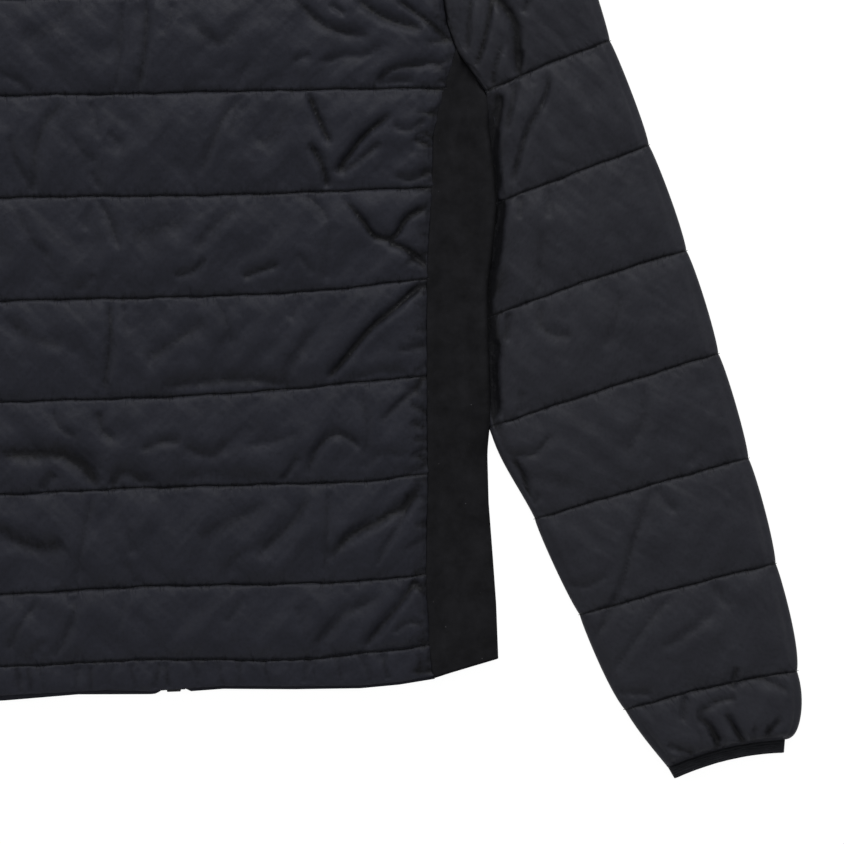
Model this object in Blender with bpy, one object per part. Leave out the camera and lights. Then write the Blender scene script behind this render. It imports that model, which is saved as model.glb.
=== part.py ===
"""Quilted jacket with stretch side panels, laid face down on a table with its back up.

The back, the two fronts and the sleeves are padded and quilted in level channels. A plain
stretch panel runs down each side, from the front seam round the side fold to the back seam.
The stand collar is folded flat, a coil zip closes the front from hem to collar, and a narrow
elastic binding draws in each cuff. The layers lie on each other half a millimetre apart.

Sizes are in millimetres from the middle of the back hem: X to the wearer's right, Y from the
hem to the collar, Z up from the table. MM and HEM_Y bring them into the part's own frame.
"""
import bmesh
import bpy
from math import cos, exp, hypot, pi, radians, sin
from mathutils import Vector

MM = 0.001
HEM_Y = -315.0            # hem level, from the middle of the whole garment's length

# Heights of the lying layers
FRONT_WALL = 6.5          # padded fronts and sleeve undersides, pressed flat by the table
BACK_Z = 7.0              # plain inner face of the upper layer
STITCH_WALL = 2.2         # cloth and padding drawn together at a stitch line
CROWN = 5.0               # rise of a channel between its two stitch lines
HEM_CROWN = 1.0           # rise of the flat-sewn hem band
THINNEST_WALL = 1.6       # least cloth left under a fold
CROWN_RISE = 20.0         # distance from an edge over which a channel reaches its full height
SEAM_GAP = 0.3            # between two pieces that are sewn together

# Quilting
HEM_LINE = 20.0           # level of the seam over the hem band
FIRST_LINE = 70.0         # level of the first stitch line over it
CHANNEL = 68.0            # height of a quilted channel
QUILT_LINES = (HEM_LINE, *(FIRST_LINE + CHANNEL * row for row in range(9)))
CHANNEL_STEPS = (0.0, 0.12, 0.3, 0.5, 0.7, 0.88)
ARMPIT_STEPS = (0.0, 0.12, 0.338, 0.618, 0.88)     # meets the armhole's corners
ARMPIT_LINE = 410.0
SHOULDER_MARGIN = 4.0     # the top stitch line stays this far inside the shoulder seam

# Outline of the body: level (y) and half width (x), or half width (x) and level (y)
SIDE_SEAM = ((2.0, 196.0), (20.0, 194.0), (70.0, 193.5), (138.0, 197.5), (206.0, 199.5),
             (274.0, 202.0), (342.0, 208.0), (376.0, 210.5), (410.0, 219.0), (418.0, 222.0),
             (433.0, 228.5))
HEM_EDGE = ((0.0, 0.0), (103.0, -1.5), (145.0, -2.5), (172.0, -1.0), (196.0, 2.0),
            (214.0, 6.5), (228.0, 11.0), (241.0, 12.5))
SIDE_FOLD = ((12.5, 241.0), (50.0, 241.0), (80.0, 240.0), (120.0, 238.5), (163.0, 239.0),
             (246.0, 241.0), (329.0, 246.0), (365.0, 246.5), (405.0, 247.0))
# Armhole corners: sleeve station, half width (x), level (y)
ARMHOLE = ((7.00, 247.5, 405.0), (7.38, 228.5, 433.0), (7.64, 222.5, 452.0),
           (8.00, 219.5, 478.0), (8.50, 218.0, 512.0), (9.00, 218.5, 546.0),
           (9.50, 221.0, 580.0), (10.00, 224.0, 612.0))
APEX_Y = 433.0            # where the side seam runs into the armhole
SHOULDER_TIP = (224.0, 612.0)
NECK_POINT = (86.0, 654.0)
BACK_NECK = ((0.0, 636.0), (22.4, 637.1), (44.8, 640.3), (67.2, 646.1), (86.0, 654.0))

# Fronts and zip
FRONT_NECK_DROP = 88.0    # neck point down to the front neck seam
FRONT_HEM_DROP = 2.2      # the fronts hang this much lower than the back
FRONT_EDGE = 8.0          # front edge from the zip's middle line
ZIP_LEAN = 16.0           # sideways shift of the zip at the hem, as the garment lies
ZIP_LEAN_TOP = 540.0      # level above which the zip runs up the middle

# Sleeve stitch lines from cuff to shoulder tip: outer edge x and y, inner edge x and y.
# Stations count these lines from 0; the last three inner ends lie on the armhole.
SLEEVE_LINES = (
    (437.5, -51.5, 355.0, -67.5),
    (447.0, -5.0, 327.0, -26.5),
    (435.0, 70.0, 298.5, 40.0),
    (419.0, 143.5, 270.0, 107.5),
    (401.0, 216.5, 241.0, 172.0),
    (381.5, 289.0, 242.0, 246.5),
    (358.5, 362.5, 246.5, 325.0),
    (334.5, 435.0, 248.0, 405.0),
    (313.0, 505.0, 219.5, 478.0),
    (283.0, 573.0, 218.5, 546.0),
    (238.0, 608.5, 224.0, 612.0),
)
ARMPIT_STATION = 7
CUFF_STEPS = (0.0, 0.08, 0.25, 0.55, 0.82)
CUFF_BULGE = 8.5          # the sleeve's last channel swells past the elastic at its outer edge
EDGE_BULGE = 2.0          # swell of a channel in the sleeve's outline
SLEEVE_FOLD = 7.0         # radius of the folded sleeve edges
SLEEVE_COLUMNS = (0.0, 0.07, 0.17, 0.29, 0.41, 0.53, 0.65, 0.77, 0.89, 1.0)
SLOT_INSET = 4.5          # hollow of the sleeve, in from its folded edges
SLOT_TOP_STATION = 9.6

# Large folds in the upper layer: start x, y, end x, y, half width, depth
BACK_FOLDS = (
    (-5, 474, -14, 414, 10, 1.4), (150, 478, 188, 448, 12, 2.4), (44, 402, 14, 340, 12, 2.0),
    (112, 400, 118, 346, 12, 1.6), (-48, 400, -66, 346, 12, 1.5), (132, 334, 156, 300, 10, 2.2),
    (158, 300, 180, 322, 10, 1.8), (-30, 334, -24, 286, 10, 1.4), (152, 284, 110, 226, 11, 2.6),
    (-34, 264, -38, 210, 10, 1.3), (-98, 180, -40, 158, 14, 2.2), (10, 168, 86, 174, 10, 1.4),
    (124, 162, 104, 142, 9, 1.6), (176, 132, 122, 80, 12, 2.4), (186, 66, 152, 26, 10, 2.0),
    (-48, 132, -56, 76, 10, 1.2), (-150, 400, -120, 350, 12, 2.0), (-170, 330, -140, 284, 11, 1.8),
    (-180, 264, -130, 222, 12, 2.2), (-176, 128, -136, 84, 12, 2.0), (-90, 540, -60, 490, 12, 1.6),
    (70, 604, 96, 556, 12, 1.6), (-186, 540, -160, 492, 12, 1.8), (176, 600, 150, 556, 12, 1.6),
)
SLEEVE_FOLDS = (
    (252, 470, 238, 430, 9, 2.4), (262, 470, 276, 420, 10, 2.8), (292, 412, 270, 352, 11, 1.8),
    (252, 400, 250, 330, 10, 2.4), (248, 318, 250, 262, 10, 2.4), (252, 240, 246, 188, 9, 1.8),
    (342, 146, 306, 52, 10, 2.0), (292, 92, 318, 84, 8, 1.4), (372, -12, 400, -8, 9, 2.0),
    (392, -22, 398, -44, 8, 2.0), (414, -14, 424, -40, 8, 1.8), (350, -44, 372, -50, 8, 1.5),
    (300, 560, 276, 520, 12, 1.8), (332, 330, 352, 292, 12, 1.2), (372, 196, 356, 152, 12, 1.2),
)

# Stretch side panels
PANEL_WALL = 2.0
PANEL_SEAM_Z = 5.8        # underside of the panel's upper layer beside the back seam
PANEL_FOLD_Z = 3.2        # and near the side fold
PANEL_DROP = 14.0         # distance in which it comes down
PANEL_FOLD = 3.5          # radius of the side fold
# Panel rows: level at the seams, level at the side fold
PANEL_ROWS = ((2.0, 12.5), (20.0, 28.0), (70.0, 74.0), (138.0, 138.0), (206.0, 206.0),
              (274.0, 274.0), (342.0, 336.0), (376.0, 364.0), (410.0, 389.0), (418.0, 395.0),
              (433.0, 405.0))
PANEL_COLUMNS = (0.0, 0.12, 0.3, 0.55, 0.8, 1.0)

# Stand collar
COLLAR_TOP = (80.0, 706.0)        # top of its side fold
COLLAR_TOP_MIDDLE = 698.0         # top edge at the middle of the back
COLLAR_FRONT_TOP = 628.0          # top edge at the zip
COLLAR_WALL = 2.6
COLLAR_CROWN = 2.0
COLLAR_FOLD = 6.0
COLLAR_BACK_COLUMNS = (0.0, 22.4, 44.8, 67.2, 80.0)
COLLAR_TURN_ANGLE = 13.5          # front neck angle reached half way round the side fold
COLLAR_FRONT_ANGLES = (22.6, 34.0, 46.0, 58.0, 70.0, 80.0, 90.0)
COLLAR_ROWS = (0.0, 0.1, 0.32, 0.68, 0.9, 1.0)

# Elastic cuff binding: outer end x and y, inner end x and y, at its upper and lower edge
BINDING_TOP = (437.0, -52.0, 355.5, -68.0)
BINDING_BOTTOM = (436.0, -60.5, 359.5, -75.5)
BINDING_HEIGHT = 6.0
BINDING_WALL = 2.0
BINDING_FOLD = 3.0

# Coil zip
COIL_HALF = 3.0           # half width of the closed coil
COIL_BOTTOM, COIL_TOP = 3.6, 5.6
TAPE_BOTTOM, TAPE_TOP = 4.2, 5.0
TAPE_START, TAPE_END = 6.3, 622.0
ZIP_BOX = (4.8, 8.2)      # half width and length of the box at the zip's foot
SLIDER_HALF = 4.6
SLIDER_PLATE = 0.8
SLIDER_LENGTH = 12.5
SLIDER_BOTTOM_Y = 613.0
RUN_GAP = 0.3             # between slider, coil and tab
POST_HALF = 1.2
LUG_X = (2.1, 2.9)        # ears that carry the tab's pin
LUG_REACH = 1.1
HINGE_Z = 1.2
PIN_RADIUS = 0.35
EYE_RADIUS = 0.65
BARREL_RADIUS = 0.9
BARREL_HALF = 1.75
TAB_HALF = 3.2
TAB_NECK = 2.6
TAB_LENGTH = 27.0
TAB_BOTTOM, TAB_TOP = 0.1, 1.1
ROUND_SIDES = 16

NAVY = (0.0185, 0.0185, 0.0245, 1.0)
BLACK_STRETCH = (0.0103, 0.0103, 0.0120, 1.0)
BLACK_ELASTIC = (0.0100, 0.0110, 0.0145, 1.0)
BLACK_TAPE = (0.0090, 0.0090, 0.0110, 1.0)
GUNMETAL = (0.0450, 0.0450, 0.0500, 1.0)


def blend(a, b, t):
    return a + (b - a) * t


def read_table(table, key):
    """Value at a key in rows of (key, value), straight between rows."""
    for (k0, v0), (k1, v1) in zip(table, table[1:]):
        if key <= k1:
            return blend(v0, v1, max(0.0, (key - k0) / (k1 - k0)))
    return table[-1][1]


def smooth_curve(values, station):
    """Value at a station on the smooth curve through values at stations 0, 1, 2 and so on."""
    i = min(int(station), len(values) - 2)
    t = station - i
    before, start, end, after = (values[max(i - 1, 0)], values[i], values[i + 1],
                                 values[min(i + 2, len(values) - 1)])
    return 0.5 * (2 * start + (end - before) * t
                  + (2 * before - 5 * start + 4 * end - after) * t ** 2
                  + (3 * start - before - 3 * end + after) * t ** 3)


def swell(t):
    """Height of a channel at a fraction t between its stitch lines, from 0 to 1."""
    return (4.0 * t * (1.0 - t)) ** 0.6


def edge_rise(distance):
    """Share of the full crown at a distance from a piece's edge."""
    return min(1.0, max(0.0, distance) / CROWN_RISE) ** 0.5


def fold_depth(folds, x, y):
    """Depth of the folds at a point: a soft trough along each one, shallow at its ends."""
    depth = 0.0
    for x0, y0, x1, y1, half_width, deepest in folds:
        run_x, run_y = x1 - x0, y1 - y0
        t = ((x - x0) * run_x + (y - y0) * run_y) / (run_x ** 2 + run_y ** 2)
        t = min(1.0, max(0.0, t))
        away = hypot(x - x0 - t * run_x, y - y0 - t * run_y)
        depth += deepest * exp(-(away / half_width) ** 2)
    return depth


def upper_skin(x, y, t, edge_distance, crown, folds):
    """Height of the upper layer's outer face."""
    height = STITCH_WALL + crown * swell(t) * edge_rise(edge_distance)
    height -= fold_depth(folds, x, y) * min(1.0, 2.5 * swell(t))
    return BACK_Z + max(THINNEST_WALL, height)


def material(name, colour, roughness, metallic=0.0):
    made = bpy.data.materials.new(name)
    made.use_nodes = True
    shader = made.node_tree.nodes["Principled BSDF"]
    shader.inputs["Base Color"].default_value = colour
    shader.inputs["Roughness"].default_value = roughness
    shader.inputs["Metallic"].default_value = metallic
    return made


def finish_mesh(name, bm, finish):
    """Object from a mesh drawn in millimetres, moved into the part's own frame."""
    bmesh.ops.recalc_face_normals(bm, faces=bm.faces)
    for vert in bm.verts:
        vert.co = Vector((vert.co.x, vert.co.y + HEM_Y, vert.co.z)) * MM
    mesh = bpy.data.meshes.new(name)
    bm.to_mesh(mesh)
    bm.free()
    mesh.materials.append(finish)
    made = bpy.data.objects.new(name, mesh)
    bpy.context.scene.collection.objects.link(made)
    return made


def mirrored(right, name):
    """The left-hand twin of a right-hand piece."""
    bm = bmesh.new()
    bm.from_mesh(right.data)
    for vert in bm.verts:
        vert.co.x = -vert.co.x
    bmesh.ops.reverse_faces(bm, faces=bm.faces)
    mesh = bpy.data.meshes.new(name)
    bm.to_mesh(mesh)
    bm.free()
    mesh.materials.append(right.data.materials[0])
    made = bpy.data.objects.new(name, mesh)
    bpy.context.scene.collection.objects.link(made)
    return made


def wall(name, outer, inner, finish, closed=False):
    """Cloth wall between an outer and an inner grid of points, rimmed along its free edges."""
    bm = bmesh.new()
    skins = [[[bm.verts.new(point) for point in row] for row in grid] for grid in (outer, inner)]
    rows, columns = len(outer), len(outer[0])
    steps = columns if closed else columns - 1
    for r in range(rows - 1):
        for c in range(steps):
            d = (c + 1) % columns
            for skin in skins:
                bm.faces.new((skin[r][c], skin[r][d], skin[r + 1][d], skin[r + 1][c]))
    out, inn = skins
    for r in (0, rows - 1):
        for c in range(steps):
            d = (c + 1) % columns
            bm.faces.new((out[r][c], out[r][d], inn[r][d], inn[r][c]))
    if not closed:
        for c in (0, columns - 1):
            for r in range(rows - 1):
                bm.faces.new((out[r][c], out[r + 1][c], inn[r + 1][c], inn[r][c]))
    return finish_mesh(name, bm, finish)


def loft(name, rows, finish):
    """Closed body through rows of closed section loops, with a flat face at each end."""
    bm = bmesh.new()
    loops = [[bm.verts.new(point) for point in row] for row in rows]
    count = len(rows[0])
    for lower, upper in zip(loops, loops[1:]):
        for c in range(count):
            d = (c + 1) % count
            bm.faces.new((lower[c], lower[d], upper[d], upper[c]))
    bm.faces.new(loops[0])
    bm.faces.new(loops[-1])
    return finish_mesh(name, bm, finish)


def inset_outline(outline, distance):
    """Outline moved inwards; its points run counter-clockwise."""
    moved = []
    for i, point in enumerate(outline):
        before, after = Vector(outline[i - 1]), Vector(outline[(i + 1) % len(outline)])
        here = Vector(point)
        entry, leave = (here - before).normalized(), (after - here).normalized()
        inward = Vector((-entry.y - leave.y, entry.x + leave.x)).normalized()
        reach = distance / max(0.5, inward.dot(Vector((-entry.y, entry.x))))
        moved.append(tuple(here + inward * reach))
    return moved


def slab(name, outline, bottom, top, finish, rounding=0.0):
    """Flat-sided pad over an outline, with its upper and lower edges eased by the rounding."""
    rings = [(outline, bottom), (outline, top)]
    if rounding:
        narrow = inset_outline(outline, rounding)
        rings = [(narrow, bottom), (outline, bottom + rounding), (outline, top - rounding),
                 (narrow, top)]
    return loft(name, [[(x, y, z) for x, y in ring] for ring, z in rings], finish)


def bar(name, x_range, y_range, z_range, finish):
    (x0, x1), (y0, y1) = x_range, y_range
    return slab(name, [(x0, y0), (x1, y0), (x1, y1), (x0, y1)], *z_range, finish)


def rod(name, centre, radius, half_length, finish):
    """Round bar along X."""
    y, z = centre
    rows = []
    for x in (-half_length, half_length):
        rows.append([(x, y + radius * cos(2 * pi * k / ROUND_SIDES),
                      z + radius * sin(2 * pi * k / ROUND_SIDES)) for k in range(ROUND_SIDES)])
    return loft(name, rows, finish)


def combine(base, operation, tools):
    """Adds or cuts each tool with the exact solver, keeps the result and removes the tools."""
    for tool in tools:
        step = base.modifiers.new(operation.title(), "BOOLEAN")
        step.operation = operation
        step.solver = "EXACT"
        step.object = tool
    bpy.context.view_layer.update()
    result = bpy.data.meshes.new_from_object(
        base.evaluated_get(bpy.context.evaluated_depsgraph_get()))
    result.name = base.name
    base.modifiers.clear()
    base.data = result
    for tool in tools:
        bpy.data.objects.remove(tool)
    return base


def hem_level(x):
    return read_table(HEM_EDGE, abs(x))


def armhole_x(y):
    return read_table([(level, x) for station, x, level in ARMHOLE], y)


def body_edge_x(y):
    """Half width of the back and of the fronts, inside the seam gap."""
    edge = read_table(SIDE_SEAM, y) if y <= APEX_Y else armhole_x(y)
    return edge - SEAM_GAP / 2


def shoulder_level(x):
    """Level of the back neck seam and of the shoulder seams."""
    x = abs(x)
    if x <= NECK_POINT[0]:
        return read_table(BACK_NECK, x)
    return read_table((NECK_POINT, SHOULDER_TIP), x)


def zip_x(y):
    """Middle line of the zip."""
    return ZIP_LEAN * max(0.0, 1.0 - y / ZIP_LEAN_TOP)


# Back panel

def back_line(k, share):
    """Point of the back's k-th line at a share of its half width: hem, stitch lines, top."""
    last = len(QUILT_LINES) + 1
    if k == 0:
        x = share * body_edge_x(HEM_EDGE[4][1])
        return x, hem_level(x)
    if k == last:
        x = share * body_edge_x(SHOULDER_TIP[1])
        return x, shoulder_level(x)
    edge_y = min(QUILT_LINES[k - 1], SHOULDER_TIP[1] - SHOULDER_MARGIN)
    x = share * body_edge_x(edge_y)
    return x, min(QUILT_LINES[k - 1], shoulder_level(x) - SHOULDER_MARGIN)


def make_back(finish):
    half = (0.1, 0.2, 0.3, 0.384, 0.48, 0.58, 0.68, 0.78, 0.87, 0.94, 1.0)
    shares = [-share for share in reversed(half)] + [0.0] + list(half)
    outer = []
    for k in range(len(QUILT_LINES) + 1):
        is_hem_band = k == 0
        steps = CHANNEL_STEPS
        if is_hem_band or k == len(QUILT_LINES):
            steps = (0.0, 0.5)
        elif QUILT_LINES[k - 1] == ARMPIT_LINE:
            steps = ARMPIT_STEPS
        crown = HEM_CROWN if is_hem_band else CROWN
        for t in steps:
            edge_y = blend(back_line(k, 1.0)[1], back_line(k + 1, 1.0)[1], t)
            row = []
            for share in shares:
                x = share * body_edge_x(edge_y)
                y = blend(back_line(k, share)[1], back_line(k + 1, share)[1], t)
                margin = body_edge_x(edge_y) - abs(x)
                row.append((x, y, upper_skin(x, y, t, margin, crown, BACK_FOLDS)))
            outer.append(row)
    top = [back_line(len(QUILT_LINES) + 1, share) for share in shares]
    outer.append([(x, y, BACK_Z + STITCH_WALL) for x, y in top])
    inner = [[(x, y, BACK_Z) for x, y, z in row] for row in outer]
    return wall("back_panel", outer, inner, finish)


# Fronts

def front_neck(angle, inset=0.0):
    """Point on the front neck seam, from the neck point at 0 down to the zip at 90 degrees."""
    half_width = NECK_POINT[0] - FRONT_EDGE - inset
    return (FRONT_EDGE + half_width * cos(radians(angle)),
            NECK_POINT[1] - (FRONT_NECK_DROP - inset) * sin(radians(angle)))


def make_front(name, side, finish):
    """One front: hem, side seam, armhole, shoulder, neck and zip edge, counter-clockwise."""
    hem = [(x, y - FRONT_HEM_DROP) for x, y in HEM_EDGE[1:4]]
    start_y = -FRONT_HEM_DROP
    outline = [(side * zip_x(start_y) + FRONT_EDGE, start_y)] + hem
    outline += [(body_edge_x(y), y) for y, x in SIDE_SEAM]
    outline += [(body_edge_x(y), y) for station, x, y in ARMHOLE[2:]]
    outline += [NECK_POINT, front_neck(COLLAR_TURN_ANGLE)]
    outline += [front_neck(angle) for angle in COLLAR_FRONT_ANGLES]
    outline.append((FRONT_EDGE, ZIP_LEAN_TOP))
    if side < 0:
        outline = [(-x, y) for x, y in reversed(outline)]
    return slab(name, outline, 0.0, FRONT_WALL, finish, rounding=1.2)


# Side panels

def make_side_panel(finish):
    """Right-hand panel: rows from the hem up, each from the back seam round to the front one."""
    outer, inner = [], []
    for seam_y, fold_y in PANEL_ROWS:
        seam = Vector((read_table(SIDE_SEAM, seam_y) + SEAM_GAP / 2, seam_y))
        fold = Vector((read_table(SIDE_FOLD, fold_y) - SEAM_GAP / 2, fold_y))
        width = (fold - seam).length
        across = (fold - seam) / width

        def place(distance, z):
            spot = seam + across * distance
            return spot.x, spot.y, z

        upper_out, upper_in, lower_out, lower_in = [], [], [], []
        for share in PANEL_COLUMNS:
            distance = share * (width - PANEL_FOLD)
            drop = min(1.0, distance / PANEL_DROP)
            under = blend(PANEL_SEAM_Z, PANEL_FOLD_Z, drop)
            upper_out.append(place(distance, under + PANEL_WALL))
            upper_in.append(place(distance, under))
            lower_out.append(place(distance, 0.0))
            lower_in.append(place(distance, PANEL_WALL))
        edge_z = upper_out[-1][2]
        turn_out, turn_in = [], []
        for angle in (50, 0, -50):
            bend, lift = cos(radians(angle)), 0.5 * (1.0 + sin(radians(angle)))
            turn_out.append(place(width - PANEL_FOLD * (1.0 - bend), edge_z * lift))
            inner_z = blend(PANEL_WALL, edge_z - PANEL_WALL, lift)
            turn_in.append(place(width - PANEL_FOLD + (PANEL_FOLD - PANEL_WALL) * bend, inner_z))
        outer.append(upper_out + turn_out + lower_out[::-1])
        inner.append(upper_in + turn_in + lower_in[::-1])
    return wall("side_panel_right", outer, inner, finish)


# Sleeves

def sleeve_ends(station):
    """Outer and inner edge of the right-hand sleeve at a station, as plan points."""
    outer = Vector([smooth_curve([line[i] for line in SLEEVE_LINES], station) for i in (0, 1)])
    inner = Vector([smooth_curve([line[i] for line in SLEEVE_LINES], station) for i in (2, 3)])
    t = station % 1.0
    bulge = CUFF_BULGE if station < 1.0 else EDGE_BULGE
    if station < 1.0:
        outer.x += bulge * (t * (1.0 - t) * 4.0) ** 0.5 * (1.0 - t) ** 0.5
    else:
        outer.x += bulge * swell(t)
    if station >= ARMPIT_STATION:
        inner.y = read_table([(s, y) for s, x, y in ARMHOLE], station)
        inner.x = armhole_x(inner.y) + SEAM_GAP
    elif station > 4.0:
        inner.x = max(inner.x, read_table(SIDE_FOLD, inner.y) + SEAM_GAP)
    return outer, inner


def sleeve_section(station):
    """Closed loop round the flattened sleeve, from the inner edge over the top and back."""
    outer, inner = sleeve_ends(station)
    width = (outer - inner).length
    across = (outer - inner) / width
    t = station % 1.0
    in_tube = min(1.0, max(0.0, (ARMPIT_STATION - station) / 0.5))
    outer_fold = min(SLEEVE_FOLD, 0.3 * width)
    inner_fold = SLEEVE_FOLD * in_tube

    def place(distance, z):
        spot = inner + across * distance
        return spot.x, spot.y, z

    loop = []
    for share in SLEEVE_COLUMNS:
        distance = blend(inner_fold, width - outer_fold, share)
        x, y, level = place(distance, 0.0)
        margin = min(distance, width - distance)
        loop.append((x, y, upper_skin(x, y, t, margin, CROWN, SLEEVE_FOLDS)))
    outer_top, inner_top = loop[-1][2], loop[0][2]
    for angle in (50, 0, -50, -90):
        reach = outer_fold * (1.0 - cos(radians(angle)))
        loop.append(place(width - reach, 0.5 * outer_top * (1.0 + sin(radians(angle)))))
    for angle in (-90, -50, 0, 50):
        reach = inner_fold * (1.0 - cos(radians(angle)))
        loop.append(place(reach, 0.5 * inner_top * (1.0 + sin(radians(angle)))))
    return loop


def sleeve_stations():
    stations = list(CUFF_STEPS)
    for line in range(1, len(SLEEVE_LINES) - 1):
        steps = (0.0, 0.15, 0.38, 0.64, 0.85) if line == ARMPIT_STATION else CHANNEL_STEPS
        stations += [line + t for t in steps]
    return stations + [len(SLEEVE_LINES) - 1.0]


def make_sleeve(finish):
    """Right-hand sleeve: a padded tube below the armpit, open along the armhole above it."""
    sleeve = loft("sleeve_right", [sleeve_section(s) for s in sleeve_stations()], finish)
    outer_side, inner_side = [], []
    for step in range(20):
        station = SLOT_TOP_STATION * step / 19
        outer, inner = sleeve_ends(station)
        across = (outer - inner).normalized()
        beyond = -2.0 * SLOT_INSET if station > ARMPIT_STATION else SLOT_INSET
        outer_side.append(outer - across * SLOT_INSET)
        inner_side.append(inner + across * beyond)
    along = (outer_side[0] - outer_side[1]).normalized() * SLOT_INSET
    outline = [inner_side[0] + along, outer_side[0] + along] + outer_side[1:]
    outline += inner_side[:0:-1]
    slot = slab("sleeve_hollow", [tuple(point) for point in outline], FRONT_WALL, BACK_Z, finish)
    return combine(sleeve, "DIFFERENCE", [slot])


# Cuff bindings

def make_binding(finish):
    """Right-hand elastic binding: a flattened ring."""
    outer, inner = [], []
    for edge in (BINDING_TOP, BINDING_BOTTOM):
        outer_end, inner_end = Vector(edge[:2]), Vector(edge[2:])
        across = (outer_end - inner_end).normalized()
        length = (outer_end - inner_end).length
        for grid, inset, low in ((outer, 0.0, 0.0), (inner, BINDING_WALL, BINDING_WALL)):
            half_height = BINDING_HEIGHT / 2 - low
            fold = BINDING_FOLD - inset * 0.9
            loop = []
            for share in (0.0, 0.25, 0.5, 0.75, 1.0):
                loop.append((blend(BINDING_FOLD, length - BINDING_FOLD, share), 90))
            for angle in (45, 0, -45):
                loop.append((length - BINDING_FOLD + fold * cos(radians(angle)), angle))
            for share in (1.0, 0.75, 0.5, 0.25, 0.0):
                loop.append((blend(BINDING_FOLD, length - BINDING_FOLD, share), -90))
            for angle in (-45, 0, 45):
                loop.append((BINDING_FOLD - fold * cos(radians(angle)), angle))
            row = []
            for distance, angle in loop:
                spot = inner_end + across * distance
                row.append((spot.x, spot.y, BINDING_HEIGHT / 2 + half_height * sin(radians(angle))))
            grid.append(row)
    return wall("cuff_right", outer, inner, finish, closed=True)


# Collar

def collar_column(kind, key):
    """Seam point, top point, outer and inner heights of one column of the collar's right half."""
    back_top = BACK_Z + COLLAR_WALL
    if kind == "back":
        seam = (key, read_table(BACK_NECK, key) + SEAM_GAP)
        top = (key * COLLAR_TOP[0] / NECK_POINT[0],
               blend(COLLAR_TOP_MIDDLE, COLLAR_TOP[1], (key / NECK_POINT[0]) ** 2))
        return seam, top, back_top, BACK_Z
    if kind == "turn":
        inset = COLLAR_FOLD * (1.0 - cos(radians(key)))
        lift = 0.5 * (1.0 + sin(radians(key)))
        if key >= 0:
            x = NECK_POINT[0] - inset
            seam = (x, read_table(BACK_NECK, x) + SEAM_GAP)
        else:
            seam = front_neck(COLLAR_TURN_ANGLE, inset=SEAM_GAP)
        top = (COLLAR_TOP[0] - inset, COLLAR_TOP[1])
        return seam, top, back_top * lift, blend(FRONT_WALL, BACK_Z, lift)
    angle = radians(key)
    seam = front_neck(key, inset=SEAM_GAP)
    top = (FRONT_EDGE + (COLLAR_TOP[0] - FRONT_EDGE) * cos(angle),
           COLLAR_TOP[1] - (COLLAR_TOP[1] - COLLAR_FRONT_TOP) * sin(angle))
    return seam, top, 0.0, FRONT_WALL


def make_collar(finish):
    """Stand collar, from the zip's right side round the back of the neck to its left side."""
    keys = [("back", x) for x in COLLAR_BACK_COLUMNS] + [("turn", a) for a in (50, 0, -50)]
    keys += [("front", angle) for angle in COLLAR_FRONT_ANGLES]
    outer, inner = [], []
    for v in COLLAR_ROWS:
        right_out, right_in = [], []
        for kind, key in keys:
            (sx, sy), (tx, ty), out_z, in_z = collar_column(kind, key)
            x, y = blend(sx, tx, v), blend(sy, ty, v)
            rise = COLLAR_CROWN * swell(v) if kind == "back" else 0.0
            inner_x, inner_y = x, y
            if kind == "turn":
                inner_x = x - 0.7 * COLLAR_FOLD * cos(radians(key))
            right_out.append((x, y, out_z + rise))
            right_in.append((inner_x, inner_y, in_z))
        for grid, half in ((outer, right_out), (inner, right_in)):
            left = [(-x, y, z) for x, y, z in half[:0:-1]]
            grid.append(left + half)
    return wall("collar", outer, inner, finish)


# Zip

def make_zip_tape(name, side, finish):
    """One tape with its half of the closed coil along the inner edge."""
    section = ((SEAM_GAP / 2, COIL_BOTTOM), (COIL_HALF, COIL_BOTTOM), (COIL_HALF, TAPE_BOTTOM),
               (FRONT_EDGE - SEAM_GAP, TAPE_BOTTOM), (FRONT_EDGE - SEAM_GAP, TAPE_TOP),
               (COIL_HALF, TAPE_TOP), (COIL_HALF, COIL_TOP), (SEAM_GAP / 2, COIL_TOP))
    rows = []
    for y in (TAPE_START, ZIP_LEAN_TOP, TAPE_END):
        rows.append([(zip_x(y) + side * x, y, z) for x, z in section])
    return loft(name, rows, finish)


def make_zip_box(finish):
    half_width, length = ZIP_BOX
    middle = zip_x(0.0)
    top_y = TAPE_START - SEAM_GAP
    return bar("zip_box", (middle - half_width, middle + half_width), (top_y - length, top_y),
               (COIL_BOTTOM - 0.5, COIL_TOP + 0.5), finish)


def make_slider(finish):
    """Two plates over and under the coil, joined by the post, with ears and pin for the tab."""
    low_plate_top = COIL_BOTTOM - RUN_GAP
    low_plate = (low_plate_top - SLIDER_PLATE, low_plate_top)
    high_plate = (COIL_TOP + RUN_GAP, COIL_TOP + RUN_GAP + SLIDER_PLATE)
    y_range = (SLIDER_BOTTOM_Y, SLIDER_BOTTOM_Y + SLIDER_LENGTH)
    hinge_y = SLIDER_BOTTOM_Y + SLIDER_LENGTH / 2
    half = (-SLIDER_HALF, SLIDER_HALF)
    sink = SLIDER_PLATE / 2
    base = bar("slider", half, y_range, low_plate, finish)
    post_y = (TAPE_END + RUN_GAP, y_range[1] - sink)
    parts = [
        bar("slider_upper", half, y_range, high_plate, finish),
        bar("slider_post", (-POST_HALF, POST_HALF), post_y,
            (low_plate[1] - sink, high_plate[0] + sink), finish),
        rod("slider_pin", (hinge_y, HINGE_Z), PIN_RADIUS, (LUG_X[0] + LUG_X[1]) / 2, finish),
    ]
    for side in (-1, 1):
        lug_x = sorted((side * LUG_X[0], side * LUG_X[1]))
        parts.append(bar("slider_lug", lug_x, (hinge_y - LUG_REACH, hinge_y + LUG_REACH),
                         (HINGE_Z - BARREL_RADIUS, low_plate[0] + sink), finish))
    return combine(base, "UNION", [parts[1], parts[0], parts[3], parts[4], parts[2]])


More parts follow.
